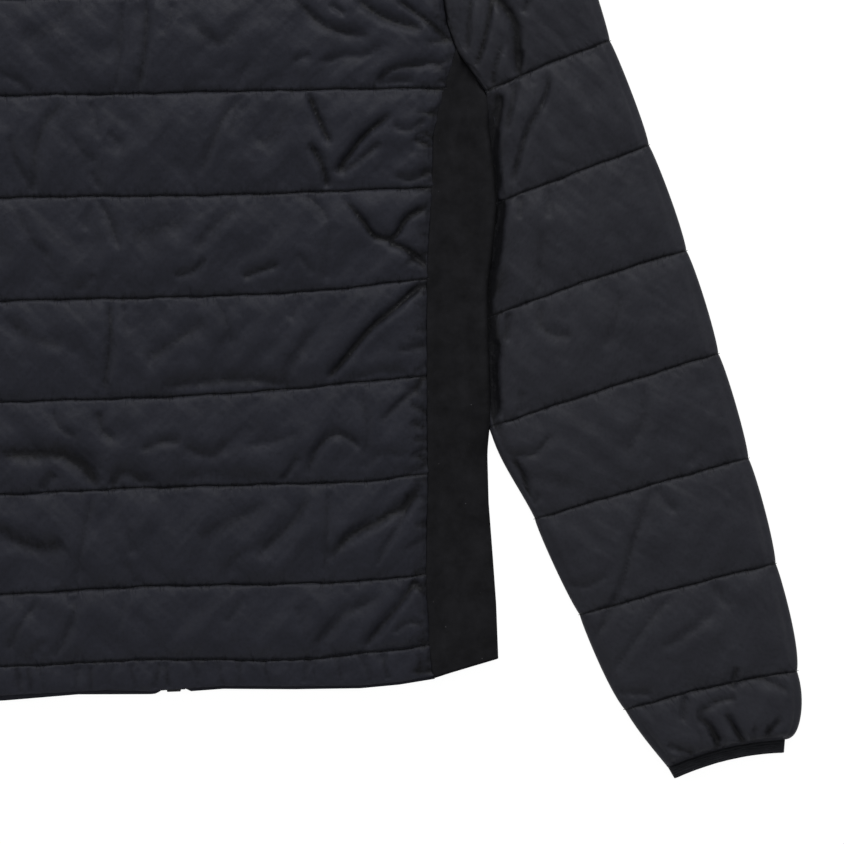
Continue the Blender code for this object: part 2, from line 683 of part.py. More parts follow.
def make_pull_tab(finish):
    """Tab lying along the zip towards the hem, with its barrel round the slider's pin."""
    hinge_y = SLIDER_BOTTOM_Y + SLIDER_LENGTH / 2
    barrel = rod("pull_tab", (hinge_y, HINGE_Z), BARREL_RADIUS, BARREL_HALF, finish)
    neck_y = hinge_y - TAB_NECK
    foot_y = hinge_y - TAB_LENGTH
    ease = TAB_HALF / 2
    outline = [(-ease, foot_y), (ease, foot_y), (TAB_HALF, foot_y + ease), (TAB_HALF, neck_y),
               (BARREL_HALF, neck_y), (BARREL_HALF, hinge_y), (-BARREL_HALF, hinge_y),
               (-BARREL_HALF, neck_y), (-TAB_HALF, neck_y), (-TAB_HALF, foot_y + ease)]
    blade = slab("tab_blade", outline, TAB_BOTTOM, TAB_TOP, finish)
    combine(barrel, "UNION", [blade])
    eye = rod("tab_eye", (hinge_y, HINGE_Z), EYE_RADIUS, BARREL_HALF + 1.0, finish)
    return combine(barrel, "DIFFERENCE", [eye])


def build():
    for old in list(bpy.data.objects):
        bpy.data.objects.remove(old)
    quilt = material("navy_quilt", NAVY, 0.55)
    stretch = material("black_stretch", BLACK_STRETCH, 0.85)
    elastic = material("black_elastic", BLACK_ELASTIC, 0.8)
    tape = material("black_tape", BLACK_TAPE, 0.75)
    metal = material("painted_metal", GUNMETAL, 0.4, 0.8)
    make_back(quilt)
    make_front("front_panel_right", 1, quilt)
    make_front("front_panel_left", -1, quilt)
    mirrored(make_side_panel(stretch), "side_panel_left")
    mirrored(make_sleeve(quilt), "sleeve_left")
    mirrored(make_binding(elastic), "cuff_left")
    make_collar(quilt)
    make_zip_tape("zip_tape_right", 1, tape)
    make_zip_tape("zip_tape_left", -1, tape)
    make_zip_box(tape)
    make_slider(metal)
    make_pull_tab(metal)


build()
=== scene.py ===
"""Looks of a quilted jacket, laid face down on a table with its back up.

Plan sizes are in millimetres from the middle of the back hem, as a cutter would give them:
X to the wearer's right, Y from the hem to the collar, Z up from the table.
"""
from math import cos, pi, radians, sin

import bmesh
import bpy
import numpy as np
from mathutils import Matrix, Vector


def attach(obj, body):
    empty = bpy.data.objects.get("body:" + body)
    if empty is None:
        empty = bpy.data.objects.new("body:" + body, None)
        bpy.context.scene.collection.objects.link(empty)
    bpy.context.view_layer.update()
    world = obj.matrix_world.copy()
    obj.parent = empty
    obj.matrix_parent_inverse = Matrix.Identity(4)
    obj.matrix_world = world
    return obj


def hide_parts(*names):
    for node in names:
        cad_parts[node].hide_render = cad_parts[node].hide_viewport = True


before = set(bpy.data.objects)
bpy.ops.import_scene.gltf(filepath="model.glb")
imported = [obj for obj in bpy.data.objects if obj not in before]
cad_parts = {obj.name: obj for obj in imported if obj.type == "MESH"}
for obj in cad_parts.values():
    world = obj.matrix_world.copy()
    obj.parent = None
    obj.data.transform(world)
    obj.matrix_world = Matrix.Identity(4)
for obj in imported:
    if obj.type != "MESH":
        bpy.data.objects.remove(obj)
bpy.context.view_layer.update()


# ---- Camera, table and light -------------------------------------------------------------
# A flat lay is shot from straight above, over the lower right part of the back. The table is
# white, and large soft boxes at its four sides fill the shadows, the one above the collar most.

# In metres, in the part's own frame
VIEW_CENTRE = (0.1945, -0.1375)
VIEW_WIDTH = 0.58207
VIEW_TURN = -2.2                  # the garment lies turned by this many degrees
VIEW_LEVEL = 0.01                 # near the back's upper face, where the view has that width
CAMERA_HEIGHT = 2.2               # over that level
SENSOR = 36.0
# Name, place, width and height, power
SOFT_BOXES = (
    ("top_box", (0.4, 3.1, 1.9), (3.6, 1.2), 142),
    ("right_box", (2.4, -0.1, 1.6), (1.2, 2.0), 12),
    ("left_box", (-2.2, 0.1, 1.6), (1.2, 2.0), 17),
    ("foot_box", (0.1, -2.2, 1.4), (2.2, 0.8), 14),
)
BOXES_AIM = (0.1, -0.1, 0.0)
ROOM_LIGHT, ROOM_PALE = 0.165, 1.0      # strength of the room as a light, and as it is seen
TABLE_SIZE, TABLE_LEVEL = 60.0, -0.0004


def linear(hex_colour):
    """Linear red, green, blue and alpha of an sRGB hex colour."""
    values = [int(hex_colour[i:i + 2], 16) / 255 for i in (1, 3, 5)]
    return (*[v / 12.92 if v <= 0.04045 else ((v + 0.055) / 1.055) ** 2.4 for v in values], 1.0)


def link_object(name, data):
    """New object in the scene."""
    made = bpy.data.objects.new(name, data)
    bpy.context.scene.collection.objects.link(made)
    return made


def add_node(tree, kind, links=(), **settings):
    """Adds a node. A setting named as one of its properties fills that, and else its socket.

    Each link is (socket name or number, another node's output)."""
    node = tree.nodes.new(kind)
    for name, value in settings.items():
        if hasattr(node, name):
            setattr(node, name, value)
        else:
            node.inputs[name.replace("_", " ")].default_value = value
    for socket, output in links:
        tree.links.new(output, node.inputs[socket])
    return node


def calculate(tree, operation, *inputs):
    """Output of a math node whose inputs are numbers or other nodes' outputs."""
    node = tree.nodes.new("ShaderNodeMath")
    node.operation = operation
    for socket, value in zip(node.inputs, inputs):
        if isinstance(value, (int, float)):
            socket.default_value = value
        else:
            tree.links.new(value, socket)
    return node.outputs["Value"]


def start_material(name, **sockets):
    """A new material, its node tree and its shader, whose sockets get these values."""
    made = bpy.data.materials.new(name)
    made.use_nodes = True
    shader = made.node_tree.nodes["Principled BSDF"]
    for socket, value in sockets.items():
        shader.inputs[socket.replace("_", " ")].default_value = value
    return made, made.node_tree, shader


def add_light(name, place, size, power):
    """A rectangular soft box that faces the aim point."""
    lamp = bpy.data.lights.new(name, "AREA")
    lamp.shape = "RECTANGLE"
    lamp.size, lamp.size_y = size
    lamp.energy = power
    box = link_object(name, lamp)
    box.location = place
    box.rotation_euler = (Vector(BOXES_AIM) - Vector(place)).to_track_quat("-Z", "Y").to_euler()


lens = bpy.data.cameras.new("camera")
lens.sensor_width = SENSOR
lens.lens = SENSOR * CAMERA_HEIGHT / VIEW_WIDTH
camera = link_object("camera", lens)
camera.location = (*VIEW_CENTRE, CAMERA_HEIGHT + VIEW_LEVEL)
camera.rotation_euler = (0.0, 0.0, radians(VIEW_TURN))
bpy.context.scene.camera = camera
bpy.context.scene.view_settings.view_transform = "Standard"

for soft_box in SOFT_BOXES:
    add_light(*soft_box)
# The room lights the cloth only weakly, and looks as pale as the table before it
world = bpy.data.worlds.new("studio")
world.use_nodes = True
room = world.node_tree.nodes["Background"]
room.inputs["Color"].default_value = linear("#ffffff")
seen = add_node(world.node_tree, "ShaderNodeLightPath").outputs["Is Camera Ray"]
strength = calculate(world.node_tree, "MULTIPLY_ADD", seen, ROOM_PALE - ROOM_LIGHT, ROOM_LIGHT)
world.node_tree.links.new(strength, room.inputs["Strength"])
bpy.context.scene.world = world

# The table gives off light of its own, so that it stays white in the weak room
table_paint = start_material("white_laminate_table", Base_Color=linear("#5c5c5c"), Roughness=0.9,
                             Specular_IOR_Level=0.1, Emission_Color=linear("#ffffff"),
                             Emission_Strength=0.95)[0]
bpy.ops.mesh.primitive_plane_add(size=TABLE_SIZE, location=(0.0, 0.0, TABLE_LEVEL))
table = bpy.context.object
table.name = "table"
table.data.materials.append(table_paint)


# ---- Back ---------------------------------------------------------------------------------
# One panel of navy polyester taffeta over thin wadding, quilted in level channels and then cut
# out. It lies on top, face up. The stitching draws the cloth into puckers along every line, so
# the panel is settled as cloth a little larger than its outline, and then gets its folds.

MM = 0.001
HEM_Y = -315.0                    # hem level in the part's own frame
HEM_LINE = 20.0                   # level of the seam over the hem band
FIRST_LINE = 70.0                 # level of the first stitch line over it
CHANNEL = 68.0                    # height of a quilted channel
QUILT_LINES = (HEM_LINE, *(FIRST_LINE + CHANNEL * row for row in range(9)))
# How far each line wanders from its level, at these distances from the middle
DRIFT_AT = (-224, -190, -150, -100, -50, 0, 50, 100, 150, 190, 224)
LINE_DRIFT = (
    (3.0, 2.0, 0.5, 0.0, 0.5, 1.0, -1.0, -3.0, 0.0, 3.0, 5.0),
    (3.0, 2.0, 0.0, -0.5, 0.5, 1.5, 0.5, -0.5, -0.5, 2.0, 4.0),
    (3.0, 2.0, 1.0, 0.5, 1.0, 1.5, 1.0, 0.5, 0.0, 3.0, 4.0),
    (2.0, 1.0, -1.5, -3.5, -4.0, -4.5, -4.0, -2.5, 0.5, 2.5, 3.0),
    (1.0, 0.0, -1.5, -2.0, -2.5, -3.5, -4.0, -4.0, -2.0, 1.5, 3.0),
    (-1.0, 0.0, 1.0, 1.0, 0.5, -1.0, -2.5, -3.0, -3.0, -3.0, -3.0),
    (0.0, 1.0, 2.5, 3.5, 3.0, 1.5, 1.0, 0.0, -1.0, -2.0, -3.0),
    (1.0, 0.5, 2.0, 2.5, 1.5, 0.5, -0.5, -1.0, -1.0, 0.0, 0.5),
    (-1.0, -0.5, 1.0, 1.5, 1.0, 0.0, -1.0, -1.0, 0.0, 1.0, 1.0),
    (0.0, 0.0, 0.5, 1.0, 0.5, 0.0, 0.0, -0.5, 0.0, 0.0, 0.0),
)
SIDE_SEAM = ((2.0, 196.0), (20.0, 194.0), (70.0, 193.5), (138.0, 197.5), (206.0, 199.5),
             (274.0, 202.0), (342.0, 208.0), (376.0, 210.5), (410.0, 219.0), (418.0, 222.0),
             (433.0, 228.5))
ARMHOLE = ((433.0, 228.5), (452.0, 222.5), (478.0, 219.5), (512.0, 218.0), (546.0, 218.5),
           (580.0, 221.0), (612.0, 224.0))
HEM_EDGE = ((0.0, 0.0), (103.0, -1.5), (145.0, -2.5), (172.0, -1.0), (196.0, 2.0),
            (214.0, 6.5), (228.0, 11.0), (241.0, 12.5))
# Rise of the hem from its own curve as the garment lies
HEM_DRIFT = ((-224, 0.0), (-150, 1.5), (-30, 1.5), (0, -1.0), (50, 1.5), (100, 0.0), (241, 0.0))
BACK_NECK = ((0.0, 636.0), (22.4, 637.1), (44.8, 640.3), (67.2, 646.1), (86.0, 654.0))
SHOULDER_TIP = (224.0, 612.0)
NECK_POINT_Y = BACK_NECK[-1][1]
TOP_LEVEL = 640.0                 # mean level of the neck and shoulder seams, to space rows by
SHOULDER_MARGIN = 4.0             # a stitch line stays this far under them
OVERLAP = 0.5                     # sewn edges run this far into each other
FRONT_WALL = 6.5                  # the fronts, pressed flat under the back
BACK_Z = 7.0                      # inner face of the back
STITCH_WALL = 2.2                 # cloth and wadding at a stitch line
CROWN = 4.2                       # rise of a channel between its stitch lines
HEM_CROWN = 1.2
SIDE_EASE = 14.0                  # width over which it rises from a side seam
BODY_HALF = 200.0                 # the half width by which that is measured
THINNEST = 1.0                    # least cloth over the inner face
NEEDLE_DEPTH, NEEDLE_WIDTH = 0.9, 0.9   # groove that the thread pulls into the cloth
LINE_STEPS = (0.0, 0.7, 1.5, 2.6, 4.0, 5.8)      # rows beside a line, where the cloth dives in
BACK_CELL, BACK_COLUMNS = 2.3, 225      # gap between rows, and points in a row

# The cloth is settled at 50 mm to a unit, on a coarser grid
CLOTH_SCALE = 0.02
CLOTH_FRAMES = 16
CLOTH_SETTINGS = {
    "quality": 5, "mass": 0.1, "tension_stiffness": 15, "compression_stiffness": 15,
    "shear_stiffness": 5, "bending_stiffness": 40.0, "air_damping": 2, "use_pressure": True,
    "uniform_pressure_force": 0.3,
}
SPARE_ACROSS, SPARE_ALONG = 1.03, 1.02  # cut size of the cloth, in units of what it covers
SIM_CELL = 4.0
SIM_STEPS = (5, 13, *[17] * 8, 6)       # rows of each channel
SIM_COLUMNS = 105
SIM_BULGE = 3.0                   # rise of its channels as it is laid
SLACK_BLOT, SLACK_STRETCH = 17.0, 2.6   # width of the places where it lies slack, and their stretch
SLACK_LEANS = (52, -58)           # their lean in degrees, on the right and on the left
SETTLED_SHARE = 0.8               # the back takes this much of the settled folds

LEAST_FOLD = 2.4                  # half width of the narrowest fold that the grids can hold
STEEPEST = 0.8                    # depth of the deepest fold, in half widths
TROUGH = 0.6                      # share of its depth that lies in a fold's own trough
RIDGE_PLACE, RIDGE_WIDTH = 1.8, 1.2     # the low ridge beside it, in half widths
PAINTED_SHADE_WIDTH = 0.65                 # width of the painted shade in a fold's trough, in half widths
LEAST_PAINTED_SHADE_WIDTH = 2.1
SIDE_SEAM_PAINTED_REACH = 13.0                 # painted shade reaches this far from the side seams, where the cloth dips into them
SIDE_SEAM_PAINTED_SHADE = 0.9

# Small folds that the thread draws up, and places beside a seam
PUCKER_GAP = 11.0                 # usual gap between the puckers along a stitch line
SHORT_PUCKER, LONG_PUCKER = (5, 12), (14, 30)     # least and greatest lengths of two kinds
SHORT_SHARE = 0.7                 # so many of them are short
PUCKER_START = 0.8                # they start this far from the thread
TUCK_GAP, TUCK_LENGTH = 9.0, (7, 20)    # the same for the tucks along a sewn edge
HEM_TUCK_GAP = (6, 22)
HEM_TUCKS_END, HEM_TUCK_TOP = 190.0, 19.0
NO_SEAM = 99.0                    # stands for the distance where no seam is near
AT_SEAM = 0.4                     # least distance from a sewn edge, which lies in the seam

# The finish: shares of its painted shade in seam grooves, sharp folds and ticks, and the most of it
GROOVE_PAINTED_SHADE, CREASE_PAINTED_SHADE, TICK_PAINTED_SHADE = 0.56, 0.2, 0.22
DARKEST = 0.85
THROUGH = 1e4                     # size of a blot through the cloth, so that it never ends there

# Folds left by wear and packing: plan points of the path, half width, depth
BACK_CREASES = (
    # under the arm
    (((16, 476), (14, 445), (7, 412)), 2, 1.7),
    (((-1, 474), (-4, 442), (-8, 413)), 2, 1.1),
    (((34, 474), (31, 461), (26, 450)), 2.5, 0.8),
    (((46, 463), (57, 449), (68, 446), (84, 463)), 6, 1.2),
    (((118, 474), (130, 460), (142, 451), (168, 445)), 4, 2.0),
    (((142, 468), (153, 460)), 2, 1.4),
    (((160, 471), (180, 457), (206, 448)), 4.5, 2.3),
    (((188, 470), (208, 454), (223, 440)), 2.5, 2.3),
    (((171, 412), (186, 422), (219, 425)), 2.5, 2.0),
    (((173, 410), (185, 414), (198, 412)), 2, 1.2),
    (((114, 430), (128, 433)), 2.5, 1.0),
    (((133, 427), (150, 432), (166, 432), (180, 441)), 2.5, 1.1),
    (((-88, 428), (-75, 423), (-66, 414)), 3, 1.0),
    (((-34, 476), (-52, 458), (-72, 452)), 8, 0.9),
    (((75, 414), (80, 421), (86, 429)), 2, 0.7),
    # chest
    (((-43, 408), (-59, 391), (-65, 370), (-67, 346)), 5, 1.4),
    (((-82, 386), (-78, 367), (-66, 345)), 3, 1.1),
    (((-26, 407), (-22, 395), (-21, 381)), 2, 0.8),
    (((-38, 383), (-31, 371), (-22, 365)), 3, 0.8),
    (((-27, 359), (-20, 345)), 2.5, 0.9),
    (((80, 407), (68, 395), (57, 376), (48, 354)), 4, 1.3),
    (((84, 402), (74, 392), (71, 380)), 2, 0.8),
    (((125, 407), (131, 390), (139, 371)), 2.5, 2.8),
    (((124, 372), (132, 359), (136, 341)), 3.5, 2.6),
    (((182, 391), (163, 377), (150, 362), (141, 350)), 2.5, 3.0),
    (((174, 372), (160, 361), (144, 350)), 3, 1.8),
    (((181, 384), (190, 379), (198, 381), (206, 388)), 2, 1.3),
    (((183, 349), (192, 345), (208, 350)), 2.5, 1.6),
    (((196, 373), (209, 367)), 2, 1.8),
    (((-14, 386), (-3, 374)), 4, 0.9),
    (((112, 398), (100, 380), (88, 372)), 8, 1.0),
    # waist
    (((-22, 339), (-14, 323), (-9, 304)), 2.5, 1.3),
    (((-28, 336), (-33, 318)), 3, 0.8),
    (((-78, 334), (-70, 315), (-58, 300)), 5, 1.0),
    (((0, 312), (18, 318), (38, 322)), 9, 1.2),
    (((74, 331), (58, 319), (42, 302)), 5, 1.1),
    (((27, 285), (40, 287), (50, 295)), 2.5, 1.6),
    (((74, 282), (86, 286), (101, 290)), 3, 2.0),
    (((113, 297), (124, 282)), 3, 0.9),
    (((146, 335), (159, 318), (167, 307), (180, 306), (190, 319), (206, 327)), 2.5, 3.3),
    (((176, 302), (188, 297), (202, 286)), 2.5, 3.2),
    (((118, 338), (130, 328), (136, 318)), 3, 1.1),
    (((138, 316), (133, 298), (130, 277)), 5, 0.8),
    (((-27, 288), (-40, 276)), 4, 0.9),
    (((-18, 268), (-18, 244), (-24, 206)), 3, 1.8),
    (((-8, 266), (-5, 246)), 3, 0.7),
    (((56, 268), (63, 250), (66, 234)), 2.5, 0.9),
    (((199, 274), (180, 258), (160, 242), (142, 222), (130, 210)), 3.5, 3.4),
    (((115, 265), (106, 251)), 2.5, 0.8),
    (((48, 254), (28, 241), (5, 228)), 7, 1.3),
    (((98, 210), (110, 226), (120, 244)), 5, 1.1),
    (((14, 208), (48, 212), (84, 211), (108, 207)), 6, 1.8),
    (((179, 227), (200, 230)), 2.5, 1.0),
    (((148, 208), (168, 214), (184, 212)), 4, 1.0),
    # hip
    (((-60, 196), (-55, 183), (-43, 176)), 3, 1.1),
    (((-28, 194), (-26, 181), (-17, 173)), 4, 1.6),
    (((-104, 168), (-78, 166), (-54, 165), (-38, 154), (-30, 141)), 8, 2.6),
    (((-70, 140), (-60, 152)), 5, 1.4),
    (((-22, 140), (-13, 151), (8, 141)), 6, 1.8),
    (((0, 165), (14, 171), (29, 170)), 4, 1.6),
    (((29, 169), (40, 162), (51, 161), (62, 171)), 4.5, 1.4),
    (((70, 166), (90, 168), (110, 173)), 4, 0.9),
    (((20, 144), (50, 147), (88, 143)), 6, 1.0),
    (((114, 144), (120, 160), (132, 171), (143, 169), (152, 161)), 3.5, 1.8),
    (((96, 140), (109, 157)), 2.5, 1.4),
    (((197, 205), (180, 192), (165, 178)), 2, 1.4),
    (((153, 200), (157, 176), (153, 154)), 4, 1.0),
    (((152, 146), (166, 157), (184, 154)), 4, 0.9),
    (((186, 177), (198, 173)), 2, 1.2),
    (((199, 149), (182, 141)), 3, 1.2),
    (((-102, 118), (-88, 108), (-70, 101), (-54, 104)), 8, 2.0),
    (((-35, 137), (-42, 105), (-50, 72)), 2, 1.0),
    (((-11, 112), (-8, 94)), 2.5, 0.7),
    (((-14, 89), (-8, 78), (-4, 72)), 2.5, 0.9),
    (((114, 129), (103, 113), (90, 101), (76, 89)), 5, 1.6),
    (((36, 103), (58, 114), (86, 126)), 7, 1.2),
    (((128, 132), (126, 108), (123, 73)), 3, 1.2),
    (((192, 136), (180, 121), (160, 110), (140, 100), (126, 84)), 5, 2.5),
    (((186, 126), (174, 105), (157, 77)), 2.5, 1.2),
    (((52, 74), (60, 86), (74, 96)), 4, 0.8),
    # over the hem band
    (((-75, 64), (-88, 48), (-97, 30)), 3, 1.2),
    (((-48, 66), (-53, 46), (-66, 24)), 3, 1.2),
    (((-86, 22), (-71, 38)), 4, 0.9),
    (((-14, 70), (-20, 40)), 2.5, 0.7),
    (((68, 64), (60, 51), (52, 44)), 4, 0.8),
    (((104, 54), (110, 28)), 3, 0.7),
    (((187, 70), (174, 53), (160, 37), (148, 24)), 3.5, 2.1),
    (((162, 59), (138, 49), (126, 38), (112, 25)), 5, 1.4),
    (((168, 32), (180, 40), (191, 38)), 2.5, 1.2),
    # the left side and the shoulders
    (((-190, 406), (-168, 380), (-150, 352)), 3, 1.6),
    (((-206, 392), (-186, 386), (-172, 392)), 2.5, 0.9),
    (((-128, 408), (-134, 384), (-142, 366)), 3, 1.2),
    (((-104, 402), (-110, 372), (-102, 346)), 5, 1.2),
    (((-200, 334), (-178, 314), (-160, 286)), 3, 1.8),
    (((-204, 300), (-184, 292), (-170, 280)), 3, 1.1),
    (((-138, 336), (-128, 312), (-134, 282)), 4, 1.0),
    (((-198, 268), (-170, 246), (-146, 214)), 4, 2.0),
    (((-120, 262), (-112, 240), (-118, 212)), 3, 1.1),
    (((-90, 262), (-70, 246), (-50, 240)), 7, 1.2),
    (((-196, 198), (-172, 182), (-160, 150)), 3, 1.6),
    (((-136, 196), (-124, 176), (-128, 146)), 4, 1.2),
    (((-190, 132), (-162, 112), (-144, 80)), 4, 1.9),
    (((-112, 130), (-116, 106), (-104, 76)), 3, 0.9),
    (((-186, 66), (-164, 48), (-150, 26)), 3, 1.5),
    (((-126, 64), (-134, 44), (-128, 26)), 3, 0.8),
    (((-196, 470), (-172, 452), (-156, 420)), 4, 1.6),
    (((-212, 446), (-190, 436)), 3, 1.2),
    (((-110, 472), (-118, 446), (-112, 416)), 3, 1.0),
    (((206, 540), (184, 522), (170, 486)), 4, 1.6),
    (((140, 540), (128, 516), (134, 484)), 4, 1.2),
    (((70, 542), (58, 514), (64, 486)), 5, 1.1),
    (((-20, 540), (-32, 516), (-26, 486)), 3, 1.0),
    (((-100, 542), (-84, 518), (-92, 486)), 4, 1.3),
    (((-206, 536), (-180, 520), (-164, 490)), 4, 1.7),
    (((204, 600), (182, 584), (172, 552)), 4, 1.6),
    (((120, 604), (108, 580), (112, 552)), 4, 1.1),
    (((10, 606), (24, 584), (16, 554)), 5, 1.1),
    (((-70, 604), (-60, 580), (-70, 554)), 4, 1.0),
    (((-200, 602), (-178, 580), (-170, 552)), 4, 1.5),
)


def read_table(table, keys):
    """Values at keys in rows of (key, value), straight between rows."""
    return np.interp(keys, *np.transpose(table))


def smooth_weights(count, places):
    """Matrix that reads a smooth curve through count values at fractional places."""
    places = np.atleast_1d(np.asarray(places, float))
    start = np.clip(places.astype(int), 0, count - 2)
    t = places - start
    shares = (-t + 2 * t ** 2 - t ** 3, 2 - 5 * t ** 2 + 3 * t ** 3,
              t + 4 * t ** 2 - 3 * t ** 3, -t ** 2 + t ** 3)
    weights = np.zeros((len(places), count))
    for step, share in zip((-1, 0, 1, 2), shares):
        np.add.at(weights, (np.arange(len(places)), np.clip(start + step, 0, count - 1)), share / 2)
    return weights


def smooth_step(value):
    """Runs from 0 to 1 as the value does, with level ends."""
    value = np.clip(value, 0.0, 1.0)
    return value * value * (3 - 2 * value)


def swell(t):
    """Height of a channel at a fraction t between its stitch lines, from 0 to 1."""
    return np.clip(4.0 * t * (1.0 - t), 0.0, 1.0) ** 0.6


def body_edge(y):
    """Half width of the body's quilted panels."""
    edge = np.where(y <= ARMHOLE[0][0], read_table(SIDE_SEAM, y), read_table(ARMHOLE, y))
    return edge + OVERLAP


def shoulder_level(x):
    """Level of the back neck seam and the shoulder seams."""
    return read_table((*BACK_NECK, SHOULDER_TIP), np.abs(x))


def needle_wander(along, line):
    """Small wander of a stitch line where the cloth slipped under the needle."""
    return 0.26 * np.sin(along / 7.7 + 1.7 * line ** 2) + 0.14 * np.sin(along / 3.1 + 4.3 * line)


def body_level(line, x):
    """Level of the hem (line 0), a stitch line, or the neck and shoulder seams (the last)."""
    if line == 0:
        return read_table(HEM_EDGE, np.abs(x)) + read_table(HEM_DRIFT, x)
    if line > len(QUILT_LINES):
        return shoulder_level(x)
    places = np.interp(x, DRIFT_AT, range(len(DRIFT_AT)))
    level = QUILT_LINES[line - 1] + smooth_weights(len(DRIFT_AT), places) @ LINE_DRIFT[line - 1]
    level = level + needle_wander(x, line)
    return np.minimum(level, shoulder_level(x) - SHOULDER_MARGIN)


def body_plan(rows, shares, inner_edge=None):
    """Plan points at fractional lines and shares of the way from the inner edge to the side.

    Without an inner edge the shares run over the whole back, from -1 to 1."""
    x = np.zeros((len(rows), len(shares)))
    y = np.zeros_like(x)
    foot = SIDE_SEAM[0][0]
    levels = (foot, *QUILT_LINES, SHOULDER_TIP[1])
    tops = (foot, *QUILT_LINES, NECK_POINT_Y)
    for r, row in enumerate(rows):
        line = min(int(row), len(levels) - 2)
        t = row - line
        side = body_edge(min(levels[line] * (1 - t) + levels[line + 1] * t, SHOULDER_TIP[1]))
        inner = inner_edge(tops[line] * (1 - t) + tops[line + 1] * t) if inner_edge else 0.0
        x[r] = inner + shares * (side - inner)
        y[r] = body_level(line, x[r]) * (1 - t) + body_level(line + 1, x[r]) * t
    return x, y


def soft_noise(random, shape, size, cell, lean=0.0, stretch=1.0):
    """Even noise with blots of about that size, drawn on cells of a given size.

    The blots are longer by the stretch, in a direction that leans from the rows' by an angle."""
    down, along = np.fft.fftfreq(shape[0], cell)[:, None], np.fft.fftfreq(shape[1], cell)
    long_way = along * cos(lean) + down * sin(lean)
    short_way = down * cos(lean) - along * sin(lean)
    blur = np.exp(-1.5 * size ** 2 * ((long_way * stretch) ** 2 + short_way ** 2))
    noise = np.fft.ifft2(np.fft.fft2(random.normal(size=shape)) * blur).real
    return noise / noise.std()


def hump(distance, width):
    """1 at no distance, fading out within about that width on both sides."""
    return np.exp(-(distance / width) ** 2)


def press_folds(height, x, y, folds, ridge=0.1, painted_shade_grid=None):
    """Presses folds into a grid of heights: a trough along each path, with a low ridge beside it.

    A grid for the finish, where given, takes the depth of the folds near their bottoms, as shade painted
    into their troughs that also dents the relief."""
    for path, half_width, depth in folds:
        points = np.array(path, float)
        fine = smooth_weights(len(points), np.linspace(0, len(points) - 1, 5 * len(points))) @ points
        half_width = max(half_width, LEAST_FOLD)
        reach = 4 * half_width
        low, high = fine.min(0) - reach, fine.max(0) + reach
        near = np.nonzero((x > low[0]) & (x < high[0]) & (y > low[1]) & (y < high[1]))
        if not len(near[0]):
            continue
        px, py = x[near], y[near]
        closest = np.full(px.shape, np.inf)
        along, side = np.zeros_like(px), np.zeros_like(px)
        for k, (start, end) in enumerate(zip(fine, fine[1:])):
            run = end - start
            t = np.clip(((px - start[0]) * run[0] + (py - start[1]) * run[1]) / (run @ run), 0, 1)
            off_x, off_y = px - start[0] - t * run[0], py - start[1] - t * run[1]
            distance = np.hypot(off_x, off_y)
            nearer = distance < closest
            closest = np.where(nearer, distance, closest)
            along = np.where(nearer, (k + t) / (len(fine) - 1), along)
            side = np.where(nearer, np.where(run[0] * off_y < run[1] * off_x, -1.0, 1.0), side)
        taper = np.clip(7 * along * (1 - along), 0, 1) ** 0.8
        across = closest * side / half_width
        shape = ridge * hump(across - RIDGE_PLACE, RIDGE_WIDTH) - TROUGH * hump(across, 1.0)
        height[near] += min(depth, STEEPEST * half_width) * taper * shape
        if painted_shade_grid is not None:
            painted_shade_grid[near] += depth * taper * hump(closest, max(PAINTED_SHADE_WIDTH * half_width, LEAST_PAINTED_SHADE_WIDTH))


def places_along(random, line_x, line_y, spacing, closer, wider):
    """Uneven places along a seam: x, y, and the step ahead. The next gap is drawn on return."""
    lengths = np.concatenate([[0], np.cumsum(np.hypot(np.diff(line_x), np.diff(line_y)))])
    place = random.uniform(0, spacing)
    while place < lengths[-1]:
        x, y = np.interp(place, lengths, line_x), np.interp(place, lengths, line_y)
        ahead_x, ahead_y = np.interp(place + 1, lengths, line_x), np.interp(place + 1, lengths, line_y)
        yield x, y, ahead_x - x, ahead_y - y
        place += spacing * random.uniform(closer, wider)


def puckers(random, line_x, line_y, spacing=PUCKER_GAP):
    """Small folds that run out from a stitch line on both sides, as a table of folds."""
    folds = []
    for side in (-1, 1):
        for x, y, ahead_x, ahead_y in places_along(random, line_x, line_y, spacing, 0.45, 1.7):
            lean = random.normal(0, 0.5)
            run = random.uniform(*(SHORT_PUCKER if random.random() < SHORT_SHARE else LONG_PUCKER))
            end = (x + side * run * (-ahead_y) + lean * run * ahead_x,
                   y + side * run * ahead_x + lean * run * ahead_y)
            start = (x + side * PUCKER_START * ahead_y, y - side * PUCKER_START * ahead_x)
            folds.append(((start, end), 1.7 + 0.05 * run, random.uniform(0.2, 0.6) + 0.01 * run))
    return folds


def seam_tucks(random, edge_x, edge_y, inward):
    """Short folds that run in from a sewn edge, as a table of folds."""
    folds = []
    for x, y, _, _ in places_along(random, edge_x, edge_y, TUCK_GAP, 0.5, 1.6):
        run = random.uniform(*TUCK_LENGTH)
        lean = random.normal(0.1, 0.35) * run
        folds.append((((x - inward * run, y - lean), (x + inward * run, y + lean)),
                      random.uniform(1.6, 2.6), random.uniform(0.5, 1.7)))
    return folds


def hem_tucks(random):
    """Short folds from the hem to the seam over it, as a table of folds."""
    folds = []
    place = -HEM_TUCKS_END
    while place < HEM_TUCKS_END:
        lean = random.normal(0, 3.0)
        folds.append((((place, 0.0), (place + lean, HEM_TUCK_TOP)), random.uniform(1.8, 3.0),
                      random.uniform(0.5, 1.5)))
        place += random.uniform(*HEM_TUCK_GAP)
    return folds


